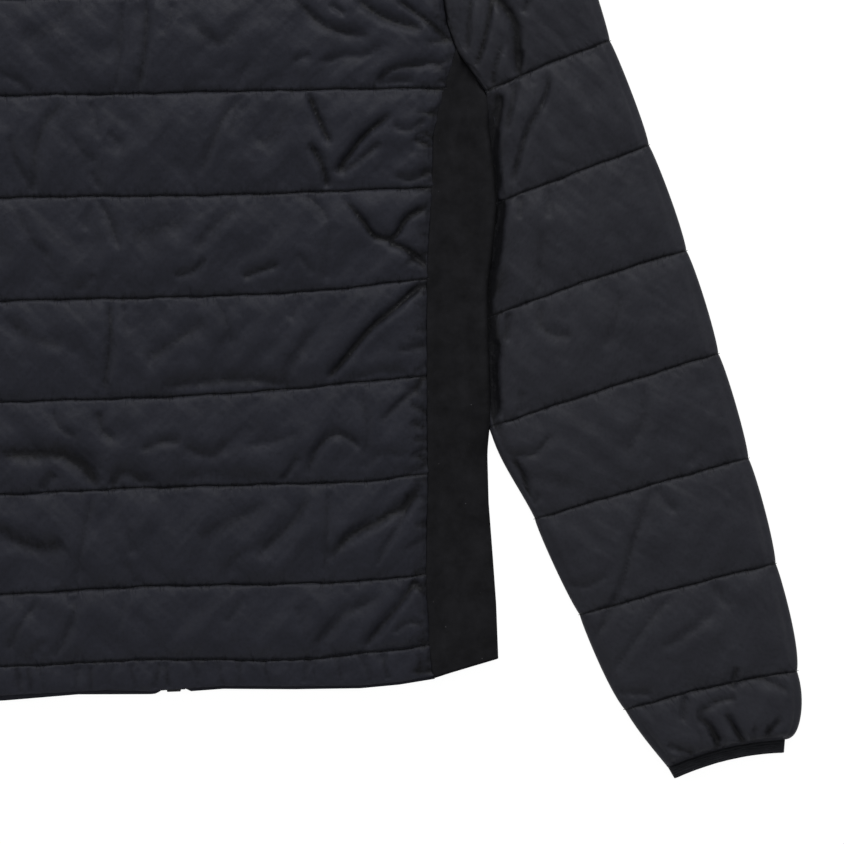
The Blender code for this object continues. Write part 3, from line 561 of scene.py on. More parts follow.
def settle(laid, cut, sewn):
    """Lets a grid of cloth, cut to one shape and laid in another, find its folds."""
    rows, columns = sewn.shape
    index = np.arange(rows * columns).reshape(rows, columns)
    mesh = bpy.data.meshes.new("cloth")
    mesh.from_pydata((laid.reshape(-1, 3) * CLOTH_SCALE).tolist(), [], grid_faces(index))
    cloth = link_object("cloth", mesh)
    cloth.shape_key_add(name="laid")
    cut_shape = cloth.shape_key_add(name="cut")
    cut_shape.data.foreach_set("co", (cut.reshape(-1, 3) * CLOTH_SCALE).ravel())
    cloth.vertex_groups.new(name="sewn").add(index[sewn].tolist(), 1.0, "REPLACE")
    modifier = cloth.modifiers.new("Cloth", "CLOTH")
    for name, value in CLOTH_SETTINGS.items():
        setattr(modifier.settings, name, value)
    modifier.settings.vertex_group_mass = "sewn"
    modifier.settings.rest_shape_key = cut_shape
    modifier.settings.effector_weights.gravity = 0
    modifier.point_cache.frame_end = CLOTH_FRAMES
    for step in range(1, CLOTH_FRAMES + 1):
        bpy.context.scene.frame_set(step)
    shape = cloth.evaluated_get(bpy.context.evaluated_depsgraph_get()).data
    settled = np.zeros(rows * columns * 3, np.float32)
    shape.vertices.foreach_get("co", settled)
    bpy.data.objects.remove(cloth)
    bpy.context.scene.frame_set(1)
    return settled.reshape(rows, columns, 3).astype(float) / CLOTH_SCALE


def settled_folds(random, x, y, t, folds, noise=0.7):
    """Heights of the folds that quilted cloth settles into, without its channels' own swell."""
    sewn = np.zeros(x.shape, bool)
    sewn[np.isclose(t, 0)] = True
    sewn[:, [0, -1]] = True
    rise = swell(t)[:, None] * np.ones_like(x)
    rightward = smooth_step((x - x.min()) / (x.max() - x.min()))
    bias = np.zeros_like(x)
    for lean, share in zip(SLACK_LEANS, (rightward, 1 - rightward)):
        bias += share * soft_noise(random, x.shape, SLACK_BLOT, SIM_CELL, radians(lean), SLACK_STRETCH)
    height = SIM_BULGE * rise + noise * bias * rise
    press_folds(height, x, y, [(path, max(width, SIM_CELL), depth) for path, width, depth in folds])
    height[sewn] = 0.0
    laid = np.stack([x, y, height], -1)
    cut = np.stack([x * SPARE_ACROSS, y * SPARE_ALONG, np.zeros_like(x)], -1)
    settled = settle(laid, cut, sewn)[..., 2]
    return settled - settled.mean(1, keepdims=True)


def settled_rows(steps):
    """Fractional lines of the settled cloth's rows, for the rows of each channel."""
    return np.concatenate([k + np.arange(n) / n for k, n in enumerate(steps)] + [[len(steps)]])


def refine_folds(folds, sim_rows, rows, shares):
    """Settled folds at a finer grid's rows, and at shares from 0 to 1 of its width."""
    count, columns = folds.shape
    down = smooth_weights(count, np.interp(rows, sim_rows, np.arange(count)))
    return down @ folds @ smooth_weights(columns, shares * (columns - 1)).T


def fine_rows(levels, cell):
    """Fractional lines of a panel's rows: close together beside the lines, a cell apart between."""
    rows = []
    for line, (low, high) in enumerate(zip(levels, levels[1:])):
        gap = high - low
        steps = [step for step in LINE_STEPS if step < gap / 2 - 1]
        count = max(1, round((gap - 2 * steps[-1]) / cell))
        middle = np.linspace(steps[-1], gap - steps[-1], count + 1)
        places = (*steps[:-1], *middle, *[gap - step for step in steps[-2:0:-1]])
        rows += [line + place / gap for place in places]
    return np.array(rows + [len(levels) - 1.0])


def add_object(name, points, faces, material):
    """Object from points in millimetres, moved into the part's own frame."""
    mesh = bpy.data.meshes.new(name)
    mesh.from_pydata(((np.asarray(points) + (0.0, HEM_Y, 0.0)) * MM).tolist(), [], faces)
    mesh.shade_smooth()
    mesh.materials.append(material)
    return link_object(name, mesh)


def describe(made, cloth, seam, fold=0.0):
    """Stores what the finish needs at a mesh's first points: place on the cloth and distance to the
    nearest seam in millimetres, and the painted shade there: how deep in a fold the point lies,
    with the shade beside seams and tucks added."""
    for name, values, default in (("seam", seam, NO_SEAM), ("fold", fold, 0.0)):
        column = np.full(len(made.data.vertices), default, np.float32)
        column[:seam.size] = np.ravel(values)
        made.data.attributes.new(name, "FLOAT", "POINT").data.foreach_set("value", column)
    places = np.array([vert.co for vert in made.data.vertices], np.float32) / MM
    places[:seam.size, :2] = cloth.reshape(-1, 2)
    made.data.attributes.new("cloth", "FLOAT_VECTOR", "POINT").data.foreach_set("vector", places.ravel())


def grid_faces(index, height=None):
    """Faces between the neighbours of a grid of point numbers, counter-clockwise.

    Where heights are given, each face is cut along the diagonal whose ends are more level, so
    that the bottoms of slanted folds stay whole."""
    corners = index[:-1, :-1], index[:-1, 1:], index[1:, 1:], index[1:, :-1]
    if height is None:
        return np.stack(corners, -1).reshape(-1, 4).tolist()
    a, b, c, d = corners
    falling = np.abs(height[:-1, :-1] - height[1:, 1:]) < np.abs(height[:-1, 1:] - height[1:, :-1])
    first = np.where(falling[..., None], np.stack([a, b, c], -1), np.stack([a, b, d], -1))
    second = np.where(falling[..., None], np.stack([a, c, d], -1), np.stack([b, c, d], -1))
    return np.concatenate([first, second]).reshape(-1, 3).tolist()


def close_panel(name, grid, plain_z, material):
    """Closed mesh: a grid of points, and one plain face at a height of its own."""
    rows, columns = grid.shape[:2]
    index = np.arange(rows * columns).reshape(rows, columns)
    height = grid[..., 2]
    faces_up = plain_z < height.mean()
    if not faces_up:
        index, height = index[:, ::-1], height[:, ::-1]
    rim = np.concatenate([index[0], index[1:, -1], index[-1, -2::-1], index[-2:0:-1, 0]])
    points = grid.reshape(-1, 3)
    plain = points[rim].copy()
    plain[:, 2] = plain_z
    first, count = len(points), len(rim)
    sides = [(first + k, first + (k + 1) % count, int(rim[(k + 1) % count]), int(rim[k]))
             for k in range(count)]
    faces = grid_faces(index, height) + sides + [tuple(range(first + count - 1, first - 1, -1))]
    made = add_object(name, np.concatenate([points, plain]), faces, material)
    made.data.polygons[len(faces) - 1].use_smooth = False
    return made


def dress(piece, node=None, body="garment"):
    """Ties a finished piece to its body, and hides the solid that it replaces."""
    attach(piece, body)
    if node:
        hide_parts(node)


def weighted_sum(tree, *terms):
    """Output of a sum of other outputs, each with its own weight."""
    total = None
    for output, weight in terms:
        part = calculate(tree, "MULTIPLY", output, weight)
        total = part if total is None else calculate(tree, "ADD", total, part)
    return total


def bell(tree, value, width):
    """Output that is 1 where a value is 0, and fades out within that width on both sides."""
    share = calculate(tree, "DIVIDE", value, width)
    square = calculate(tree, "MULTIPLY", share, share)
    return calculate(tree, "EXPONENT", calculate(tree, "MULTIPLY", square, -1.0))


def read_attribute(tree, name, output="Fac"):
    """Output of a value that is stored on the mesh."""
    return add_node(tree, "ShaderNodeAttribute", attribute_name=name).outputs[output]


def noise_on(tree, place, across, along, detail=2.0, offset=0.0):
    """Noise whose blots have these sizes on the cloth, in millimetres, right through it."""
    scaled = add_node(tree, "ShaderNodeVectorMath", [(0, place)], operation="MULTIPLY_ADD")
    scaled.inputs[1].default_value = (1 / across, 1 / along, 1 / THROUGH)
    scaled.inputs[2].default_value = (offset, offset, offset)
    return add_node(tree, "ShaderNodeTexNoise", [("Vector", scaled.outputs["Vector"])],
                    Scale=1.0, Detail=detail).outputs["Fac"]


def map_range(tree, value, **ends):
    """Output that runs from 0 to 1, or between other ends, as a value does between its own."""
    return add_node(tree, "ShaderNodeMapRange", [("Value", value)], **ends).outputs["Result"]


def mix_tints(tree, share, low, high):
    """Output that runs from one colour, or another node's output, to a second colour."""
    mix = add_node(tree, "ShaderNodeMix", [("Factor", share)], data_type="RGBA")
    if isinstance(low, str):
        mix.inputs["A"].default_value = linear(low)
    else:
        tree.links.new(low, mix.inputs["A"])
    mix.inputs["B"].default_value = linear(high)
    return mix.outputs["Result"]


def finish(tree, shader, colour, height=None, strength=1.0, distance=0.0002):
    """Ties a colour and a relief, that deep in metres, to a shader."""
    tree.links.new(colour, shader.inputs["Base Color"])
    if height is not None:
        bump = add_node(tree, "ShaderNodeBump", [("Height", height)], Strength=strength,
                        Distance=distance)
        tree.links.new(bump.outputs["Normal"], shader.inputs["Normal"])


def make_taffeta(name, low_tint, high_tint, crushed):
    """Polyester taffeta: plain woven from fine filament and worn soft, so its sheen is low and
    its face slightly crushed and mottled. The threads are 0.15 mm apart, too fine to show. Seams
    draw it into small ticks at right angles. The shadows in the seams' grooves, in the ticks and
    in sharp folds are painted into its colour as a darker shade."""
    made, tree, shader = start_material(name, Roughness=0.58, Specular_IOR_Level=0.13)
    cloth = read_attribute(tree, "cloth", "Vector")
    seam = read_attribute(tree, "seam")
    uneven = calculate(tree, "MULTIPLY_ADD", noise_on(tree, cloth, 5.0, 6.0, 3.0, 5.0), 1.0, 0.6)
    fold = calculate(tree, "MULTIPLY", read_attribute(tree, "fold"), uneven)
    ticks = map_range(tree, noise_on(tree, cloth, 3.6, 11.0, 1.5), From_Min=0.5, From_Max=0.68,
                      interpolation_type="SMOOTHSTEP")
    ticks = calculate(tree, "MULTIPLY", ticks, bell(tree, seam, 4.6))
    seam_width = calculate(tree, "MULTIPLY_ADD", noise_on(tree, cloth, 5.0, 30.0, 2.0, 3.0), 2.2, 0.1)
    grain = noise_on(tree, cloth, 2.2, 2.6, 3.0, 11.0)
    # Painted shade: the colour darkens towards #08080a in seam grooves, fold bottoms and ticks, where
    # shadow falls in them, and a random grain is laid over it
    painted_crease_shade = calculate(tree, "POWER", fold, 1.5)
    shade = weighted_sum(tree, (bell(tree, seam, seam_width), GROOVE_PAINTED_SHADE), (painted_crease_shade, CREASE_PAINTED_SHADE),
                         (ticks, TICK_PAINTED_SHADE))
    shade = calculate(tree, "ADD", shade, calculate(tree, "MULTIPLY_ADD", grain, 0.8, -0.37))
    shade = calculate(tree, "MINIMUM", shade, DARKEST)
    tint = mix_tints(tree, noise_on(tree, cloth, 26.0, 17.0, 4.0, 7.0), low_tint, high_tint)
    height = weighted_sum(tree, (fold, -0.3), (ticks, -0.35),
                          (noise_on(tree, cloth, 5.0, 6.0, 3.5), crushed))
    finish(tree, shader, mix_tints(tree, shade, tint, "#08080a"), height, distance=MM)
    return made


def stitch_distance(rows, levels):
    """Distance of each row from the nearest stitch line, in millimetres."""
    places = np.interp(rows, range(len(levels)), levels)
    return np.abs(places[:, None] - np.array(levels[1:-1])).min(1)[:, None]


def make_back(random):
    """The back. Returns its stitch lines."""
    sim_rows = settled_rows(SIM_STEPS)
    sim_plan = body_plan(sim_rows, np.linspace(-1, 1, SIM_COLUMNS))
    folds = SETTLED_SHARE * settled_folds(random, *sim_plan, sim_rows % 1.0, BACK_CREASES)
    levels = (0.0, *QUILT_LINES, TOP_LEVEL)
    rows, shares = fine_rows(levels, BACK_CELL), np.linspace(-1, 1, BACK_COLUMNS)
    x, y = body_plan(rows, shares)
    ease = np.clip((1 - np.abs(shares)) * BODY_HALF / SIDE_EASE, 0, 1) ** 0.5
    crown = np.where(rows < 1, HEM_CROWN, CROWN)
    height = STITCH_WALL + (crown * swell(rows % 1.0))[:, None] * ease
    height = height + refine_folds(folds, sim_rows, rows, (shares + 1) / 2)
    small_folds = []
    for line, level in enumerate(QUILT_LINES, 1):
        line_x = np.linspace(-1, 1, 60) * body_edge(level)
        small_folds += puckers(random, line_x, body_level(line, line_x))
    tucks = seam_tucks(random, x[:, 0], y[:, 0], 1) + seam_tucks(random, x[:, -1], y[:, -1], -1)
    tucks += hem_tucks(random)
    edge = np.minimum(x - x[:, :1], x[:, -1:] - x) + AT_SEAM
    # Painted shade beside the side seams, where the cloth dips down into them
    painted_shade_grid = SIDE_SEAM_PAINTED_SHADE * hump(edge, SIDE_SEAM_PAINTED_REACH)
    press_folds(height, x, y, (*BACK_CREASES, *tucks), painted_shade_grid=painted_shade_grid)
    press_folds(height, x, y, small_folds)
    distance = stitch_distance(rows, levels)
    height -= NEEDLE_DEPTH * hump(distance, NEEDLE_WIDTH)
    grid = np.stack([x, y, BACK_Z + np.maximum(height, THINNEST)], -1)
    back = close_panel("quilted_back", grid, FRONT_WALL, taffeta)
    describe(back, grid[..., :2], np.minimum(distance, edge), painted_shade_grid)
    dress(back, "back_panel")
    return [grid[rows == line][0] for line in range(1, len(levels) - 1)]


taffeta = make_taffeta("navy_polyester_taffeta", "#1a1b22", "#272830", 0.42)
back_paths = make_back(np.random.default_rng(11))


# ---- Fronts -------------------------------------------------------------------------------
# Two quilted panels under the back, pressed flat by the garment's weight: only their stitch
# lines and a few creases dent the underside. They end at the zip and at the neck seam.

FRONT_HEM_DROP = 2.2              # the fronts hang this much lower than the back
FRONT_CORNER = 4.0                # width of the round corner at the foot of the zip
FRONT_EDGE = 8.0                  # front edge from the zip's middle line
ZIP_LEAN = 16.0                   # sideways shift of the zip at the hem, as the garment lies
ZIP_LEAN_TOP = 540.0
FRONT_NECK = (78.0, 88.0)         # half axes of the neck curve
FRONT_CELL, FRONT_COLUMNS = 2.6, 86
GROOVE_DEPTH, GROOVE_WIDTH = 1.7, 1.6
EDGE_LIFT, EDGE_ROUND = 1.4, 1.5  # the panels' edges turn up from the table
UNDER_PUCKERS = 14.0              # usual gap between puckers on the underside
UNDER_DENT, UNDER_BLOT = 0.35, 22.0     # shallow dents of the underside, and their size


def zip_x(y):
    """Middle line of the zip."""
    return ZIP_LEAN * np.clip(1.0 - y / ZIP_LEAN_TOP, 0.0, 1.0)


def turned(side, grid):
    """A grid of the right-hand side, or with its columns turned round for the left."""
    return grid if side > 0 else grid[:, ::-1]


def for_side(side, points):
    """A right-hand grid of points, or its mirror image for the left."""
    return turned(side, points * (side, 1, 1))


def pressed_face(random, x, y, distance, folds):
    """Heights of a quilted face that lies on the table, dented along its stitch lines."""
    dent = GROOVE_DEPTH * hump(distance, GROOVE_WIDTH) * np.ones_like(x)
    dent += np.clip(UNDER_DENT * soft_noise(random, x.shape, UNDER_BLOT, 2.5) - UNDER_DENT, 0.0, 1.0)
    rises = np.zeros_like(x)
    press_folds(rises, x, y, folds, ridge=0.0)
    return np.maximum(dent - rises, 0.0)


def make_front(name, side, random):
    """One front. Its plan is drawn on the right and mirrored for the left. Returns its lines."""
    def inner_edge(y):
        """Distance of the edge beside the zip, and of the neck seam above it, from the middle."""
        up = np.clip((NECK_POINT_Y - y) / FRONT_NECK[1], 0.0, 1.0)
        neck = FRONT_NECK[0] * (1 - up ** 2) ** 0.5
        return side * zip_x(y) + FRONT_EDGE + neck

    levels = (0.0, *QUILT_LINES, TOP_LEVEL)
    rows, shares = fine_rows(levels, FRONT_CELL), np.linspace(0, 1, FRONT_COLUMNS)
    x, y = body_plan(rows, shares, inner_edge)
    corner = smooth_step((x - x[:, :1]) / FRONT_CORNER)
    y -= FRONT_HEM_DROP * np.clip(1 - rows, 0, 1)[:, None] * corner
    distance = stitch_distance(rows, levels)
    folds = []
    for line, level in enumerate(QUILT_LINES, 1):
        line_x = np.linspace(inner_edge(level), body_edge(level), 40)
        folds += puckers(random, line_x, body_level(line, line_x), UNDER_PUCKERS)
    z = pressed_face(random, x, y, distance, folds)
    edge = np.minimum(x - x[:, :1], x[:, -1:] - x)
    z += EDGE_LIFT * hump(edge, EDGE_ROUND)
    grid = for_side(side, np.stack([x, y, z], -1))
    front = close_panel(name, grid, FRONT_WALL, taffeta)
    describe(front, grid[..., :2], turned(side, np.minimum(distance, edge + AT_SEAM)))
    dress(front, name.replace("quilted_front", "front_panel"))
    return [grid[rows == line][0] for line in range(1, len(levels) - 1)]


front_random = np.random.default_rng(23)
stitch_paths = make_front("quilted_front_right", 1, front_random)
stitch_paths += make_front("quilted_front_left", -1, front_random)
stitch_paths += back_paths


# ---- Side panels --------------------------------------------------------------------------
# Matte black stretch softshell, one piece from the front seam round the side fold to the back
# seam. It is cut a little long, so shallow folds lie across it. Beside the sleeve its edge rides
# up on the sleeve. Fine lint clings to it.

SIDE_FOLD = ((12.5, 241.0), (50.0, 241.0), (80.0, 240.0), (120.0, 238.5), (163.0, 239.0),
             (246.0, 239.5), (265.0, 240.0), (300.0, 245.5), (322.0, 248.5), (345.0, 248.0),
             (378.0, 245.5), (405.0, 247.0))
# Level of a row at the seams, and at the side fold
PANEL_ROWS = ((0.3, 12.0), (20.0, 28.0), (70.0, 74.0), (138.0, 138.0), (206.0, 206.0),
              (274.0, 274.0), (342.0, 336.0), (376.0, 364.0), (410.0, 389.0), (418.0, 395.0),
              (433.6, 406.0))
PANEL_ROWS_COUNT, PANEL_COLUMNS = 170, 34     # rows, and points across the upper face
PANEL_WALL = 1.6
PANEL_SEAM_TOP, PANEL_TOP = 8.6, 5.2    # upper face at the back seam, and beyond it
PANEL_DROP = 12.0
PANEL_FOLD = 3.5
PANEL_HOLLOW = (1.2, 1.8)         # faces of the lower and, at least, the upper layer inside
PANEL_RIDE = 3.8                  # how far the edge rides up where the sleeve lies
RIDE_OUT = 0.8                    # share of that by which it also moves out
RIDE_WIDTH = 14.0                 # width over which it rises
RIDE_END = 12.0                   # height over which that dies out below the armpit
PANEL_LAP = 0.9                   # it still covers the sleeve's edge by this much at the armpit
SLEEVE_MEETS = (150.0, 185.0)     # levels between which the sleeve comes under the edge
PANEL_UNEVEN, PANEL_BLOT = 0.18, 16.0   # unevenness of its upper face, and the size of its blots
PANEL_EASE = (8.0, 6.0)           # creases die out this near the back seam, and the side fold
SIDE_CREASES = (
    (((206, 386), (226, 372), (240, 352)), 7, 0.7), (((203, 300), (222, 292), (240, 296)), 6, 0.5),
    (((200, 246), (216, 232), (238, 226)), 8, 0.6), (((198, 160), (214, 150), (236, 154)), 7, 0.5),
    (((197, 96), (216, 86), (238, 92)), 8, 0.6), (((197, 60), (206, 48), (210, 30)), 5, 0.6),
    (((224, 60), (230, 40), (229, 22)), 6, 0.5), (((232, 330), (228, 300), (233, 268)), 6, 0.5),
)


def object_texture(tree, kind, output="Fac", **settings):
    """Output of a texture that is laid through the whole object."""
    place = add_node(tree, "ShaderNodeTexCoord").outputs["Object"]
    return add_node(tree, kind, [("Vector", place)], **settings).outputs[output]


def make_softshell():
    """Dense stretch knit with a flat, slightly peached face and a few specks of lint."""
    made, tree, shader = start_material("black_stretch_softshell", Roughness=0.85,
                                        Specular_IOR_Level=0.12)
    wash = object_texture(tree, "ShaderNodeTexNoise", Scale=60.0, Detail=7.0, Roughness=0.74)
    worn = map_range(tree, wash, From_Min=0.18, From_Max=0.82)
    specks = object_texture(tree, "ShaderNodeTexVoronoi", "Distance", Scale=85.0)
    lint = calculate(tree, "LESS_THAN", specks, 0.028)
    nap = object_texture(tree, "ShaderNodeTexNoise", Scale=1800.0, Detail=3.0)
    tint = mix_tints(tree, lint, mix_tints(tree, worn, "#020203", "#1e1e21"), "#4a4a4c")
    finish(tree, shader, tint, nap, 0.35)
    return made


def closed_ring(grid):
    """A grid whose first column comes once more at its end."""
    return np.concatenate([grid, grid[:, :1]], 1)


def cloth_wall(name, outer, inner, material, closed=False):
    """Closed mesh of an outer and an inner skin. Closed skins are loops, and may differ in rows."""
    columns = outer.shape[1]
    skins = []
    first = 0
    for skin in (outer, inner):
        index = first + np.arange(len(skin) * columns).reshape(len(skin), columns)
        skins.append(closed_ring(index) if closed else index)
        first += index.size
    out, inn = skins
    height = closed_ring(outer[..., 2]) if closed else outer[..., 2]
    faces = grid_faces(out, height) + grid_faces(inn[:, ::-1])
    faces += grid_faces(np.stack([inn[0], out[0]])) + grid_faces(np.stack([out[-1], inn[-1]]))
    if not closed:
        faces += grid_faces(np.stack([inn[:, 0], out[:, 0]], 1))
        faces += grid_faces(np.stack([out[:, -1], inn[:, -1]], 1))
    points = np.concatenate([outer.reshape(-1, 3), inner.reshape(-1, 3)])
    return add_object(name, points, faces, material)


def make_side_panel(name, side, random):
    """One side panel, drawn on the right and mirrored for the left."""
    seam_y = np.linspace(PANEL_ROWS[0][0], PANEL_ROWS[-1][0], PANEL_ROWS_COUNT)
    fold_y = read_table(PANEL_ROWS, seam_y)
    ride = PANEL_RIDE * smooth_step((fold_y - SLEEVE_MEETS[0]) / (SLEEVE_MEETS[1] - SLEEVE_MEETS[0]))
    ride *= np.clip((PANEL_ROWS[-1][0] - seam_y) / RIDE_END, 0, 1)
    seam = np.stack([read_table(SIDE_SEAM, seam_y) - OVERLAP, seam_y], 1)
    out = np.maximum(RIDE_OUT * ride, PANEL_LAP * (fold_y > SLEEVE_MEETS[1]))
    fold = np.stack([read_table(SIDE_FOLD, fold_y) + out, fold_y], 1)
    width = np.linalg.norm(fold - seam, axis=1)[:, None]
    across = (fold - seam) / width
    angles = np.radians((65, 40, 20, 0, -20, -40, -65, -90))
    upper = np.linspace(0, 1, PANEL_COLUMNS) * (width - PANEL_FOLD)
    turn = width - PANEL_FOLD * (1 - np.cos(angles))
    distance = np.concatenate([upper, turn, upper[:, -2::-1]], 1)
    plan = seam[:, None] + across[:, None] * distance[..., None]
    top = PANEL_TOP + (PANEL_SEAM_TOP - PANEL_TOP) * (1 - smooth_step(upper / PANEL_DROP))
    top += ride[:, None] * smooth_step(1 - (width - PANEL_FOLD - upper) / RIDE_WIDTH)
    creases = PANEL_UNEVEN * soft_noise(random, top.shape, PANEL_BLOT, 2.0)
    press_folds(creases, *np.moveaxis(plan[:, :PANEL_COLUMNS], -1, 0), SIDE_CREASES)
    top += creases * smooth_step(upper / PANEL_EASE[0]) * smooth_step((width - upper) / PANEL_EASE[1])
    lower = np.zeros((PANEL_ROWS_COUNT, PANEL_COLUMNS - 1))
    outer_z = np.concatenate([top, 0.5 * top[:, -1:] * (1 + np.sin(angles)), lower], 1)
    low, high = PANEL_HOLLOW
    under = np.maximum(top - PANEL_WALL, high)
    inner_turn = low + (under[:, -1:] - low) * (1 + np.sin(angles)) / 2
    inner_z = np.concatenate([under, inner_turn, lower + low], 1)
    inset = np.concatenate([0 * upper, PANEL_WALL * np.cos(angles) * np.ones_like(width), lower], 1)
    inner_plan = seam[:, None] + across[:, None] * (distance - inset)[..., None]
    skins = [for_side(side, np.concatenate([skin, z[..., None]], -1))
             for skin, z in ((plan, outer_z), (inner_plan, inner_z))]
    panel = cloth_wall(name, *skins, softshell)
    dress(panel, name.replace("stretch_side", "side_panel"))


softshell = make_softshell()
panel_random = np.random.default_rng(31)
make_side_panel("stretch_side_right", 1, panel_random)
make_side_panel("stretch_side_left", -1, panel_random)


# ---- Sleeves ------------------------------------------------------------------------------
# Padded and quilted like the back, each one tube folded flat. The upper layer is settled as
# cloth, with puckers at the stitch lines, long creases where the arm bends, and gathers that
# run up from the elastic.

# Stitch lines from cuff to shoulder tip: outer edge x and y, inner edge x and y
SLEEVE_LINES = (
    (437.5, -51.5, 355.0, -67.5), (447.0, -5.0, 327.0, -26.5), (435.0, 70.0, 298.5, 40.0),
    (419.0, 143.5, 270.0, 107.5), (401.0, 216.5, 241.0, 172.0), (381.5, 289.0, 242.0, 246.5),
    (358.5, 362.5, 246.5, 325.0), (334.5, 435.0, 248.0, 405.0), (313.0, 505.0, 219.5, 478.0),
    (283.0, 573.0, 218.5, 546.0), (238.0, 608.5, 224.0, 612.0),
)
# Bow of each line towards the shoulder: at the inner edge, the middle and the outer edge
SLEEVE_BOW = (
    (0.0, 4.0, 0.0), (0.0, 3.0, 1.0), (0.0, 1.5, 0.5), (0.0, 1.0, 0.5), (0.0, 1.0, 0.5),
    (0.0, 2.0, 0.0), (0.5, 0.5, 0.0), (-1.5, 1.0, 0.5), (0.0, 0.0, 0.0), (0.0, 0.0, 0.0),
    (0.0, 0.0, 0.0),
)
# Where the sleeve is sewn to the armhole: station, half width, level
SLEEVE_SEAM = ((7.00, 247.5, 405), (7.38, 228.5, 433), (7.64, 222.5, 452), (8.00, 219.5, 478),
               (8.50, 218.0, 512), (9.00, 218.5, 546), (9.50, 221.0, 580), (10.00, 224.0, 612))
ARMPIT_STATION = 7.0
CUFF_BULGE = 8.5
EDGE_BULGE, INNER_BULGE = 2.0, 2.0
SLEEVE_FOLD = 4.6
INNER_FOLD = 3.4                  # under the side panel's edge the sleeve's own fold is flatter
TUCK_TOP = 4.4                    # height of the sleeve where it goes under that edge
TUCK_HIDDEN, TUCK_RISE = 2.6, 8.5       # its width under the edge, and the width of its rise beyond
CUFF_TOP = 6.2
SLEEVE_CELL, SLEEVE_COLUMNS, UNDER_COLUMNS = 2.4, 84, 44
SLEEVE_SIM_STEPS = (12, *[18] * 8, 11)
SLEEVE_SIM_COLUMNS, SLEEVE_SIM_MARGIN = 38, 3.0
SLEEVE_NOISE, SLEEVE_SETTLED = 0.55, 0.75
SLEEVE_EASE = 24.0                # width over which its channels gain their full rise
FOLD_MEETS, FOLD_BLEND = 3.9, 0.3       # stations over which its edge joins the side panel's
TUCK_START, TUCK_BLEND = 3.7, 0.6       # stations over which it comes to lie under that edge
ARMPIT_BLEND = 0.5
CUFF_EASE = 0.16                  # share of the first channel over which it drops to the cuff
HOLLOW_INSET, TUCKED_INSET = 4.5, 10.0
HOLLOW_ROWS = 12                  # the hollow takes one of so many rows
HOLLOW_CUFF, HOLLOW_GROWTH = (1.8, 4.4), (4.7, 2.6)     # its faces at the cuff, and their rise
THREAD_LOW = 0.6                  # the underside's thread stays this far over the table
CUFF_MIDDLE = 41.0                # distance of the cuff's middle from the inner edge
SLEEVE_GAP = 0.3                  # plan gap between its edge and the side panel's fold
UNDER_SHIFT = 600.0               # the finish's place on the lower layer lies this far on
# Painted shadow on the sleeve beside the side panel's edge, where it goes under that edge: strength and
# width of its narrow and its wide part
PAINTED_TUCK_SHADOWS = ((2.6, 5.0), (1.1, 12.0))
ARMHOLE_SEAM_PAINTED_SHADE = (1.2, 6.0)        # painted shade, the same along the armhole seam
UNDER_EASE = 4.0                  # width over which the underside runs out into the folds
GATHERS = (5.0, 80.0, 7.0)        # the gathers over the elastic: first, last, and their gap
SLEEVE_CREASES = (
    # under the arm
    (((240, 470), (237, 450), (236, 432)), 3, 1.8),
    (((254, 470), (251, 452), (246, 434), (241, 421)), 2.5, 2.4),
    (((250, 474), (262, 462), (270, 446), (269, 414)), 5, 3.0),
    (((260, 436), (254, 420), (253, 406)), 2.5, 1.8),
    (((275, 456), (279, 466)), 3, 1.6),
    (((273, 432), (271, 411)), 3, 1.6),
    (((291, 415), (288, 398), (276, 378), (268, 357), (263, 339)), 2, 1.9),
    (((257, 402), (255, 388), (250, 366)), 4.5, 3.4),
    (((269, 410), (265, 394), (260, 376)), 4, 1.6),
    (((290, 357), (311, 348)), 4, 0.7),
    (((254, 329), (251, 304), (245, 277)), 5, 3.6),
    (((269, 331), (267, 315)), 3, 1.0),
    (((288, 335), (287, 315)), 4, 0.8),
    (((281, 308), (280, 287), (277, 260)), 5, 0.9),
    (((302, 280), (311, 270)), 3, 0.7),
    # elbow
    (((257, 251), (254, 231)), 2.5, 1.4),
    (((248, 232), (245, 212), (247, 178)), 4.5, 3.4),
    (((281, 259), (279, 242), (290, 234), (300, 236)), 5, 1.3),
    (((336, 262), (331, 246), (323, 224)), 5, 0.8),
    (((264, 197), (263, 180)), 2, 1.0),
    (((253, 153), (271, 153), (283, 166)), 3, 1.5),
    (((256, 150), (263, 138), (266, 120)), 3, 2.6),
    (((266, 140), (284, 133), (306, 130)), 7, 0.9),
    (((348, 198), (346, 172), (332, 150)), 6, 0.9),
    (((388, 152), (378, 141)), 4, 0.7),
    (((274, 125), (266, 115)), 2.5, 1.2),
    # forearm
    (((351, 126), (336, 88), (329, 64), (318, 41), (306, 22)), 3.5, 1.3),
    (((353, 126), (368, 108)), 4, 0.9),
    (((290, 62), (303, 60), (318, 68)), 2.5, 1.1),
    (((362, 52), (348, 38), (334, 20), (318, 0)), 3.5, 1.1),
    (((392, 40), (372, 26), (353, 15)), 4, 1.0),
    (((391, 58), (398, 47), (405, 44)), 4, 0.7),
    (((318, -13), (332, -15), (346, -15)), 3, 1.2),
    (((405, 1), (401, -15)), 2.5, 1.8),
    # gathers over the cuff
    (((368, -18), (366, -36)), 2.5, 1.5),
    (((404, -20), (390, -23), (375, -32)), 2.5, 2.0),
    (((376, -33), (385, -40), (392, -52)), 2, 2.3),
    (((384, -42), (391, -55)), 2, 1.6),
    (((396, -31), (402, -42), (409, -53)), 2, 2.3),
    (((434, -36), (423, -48)), 2, 1.8),
    (((418, -7), (431, -12), (441, -19)), 2.5, 1.5),
    (((354, -52), (374, -58)), 3, 1.6),
    # shoulder
    (((236, 540), (252, 520), (258, 492)), 4, 1.4),
    (((282, 556), (276, 530), (262, 508)), 5, 1.2),
    (((240, 596), (250, 580), (246, 556)), 4, 1.2),
)
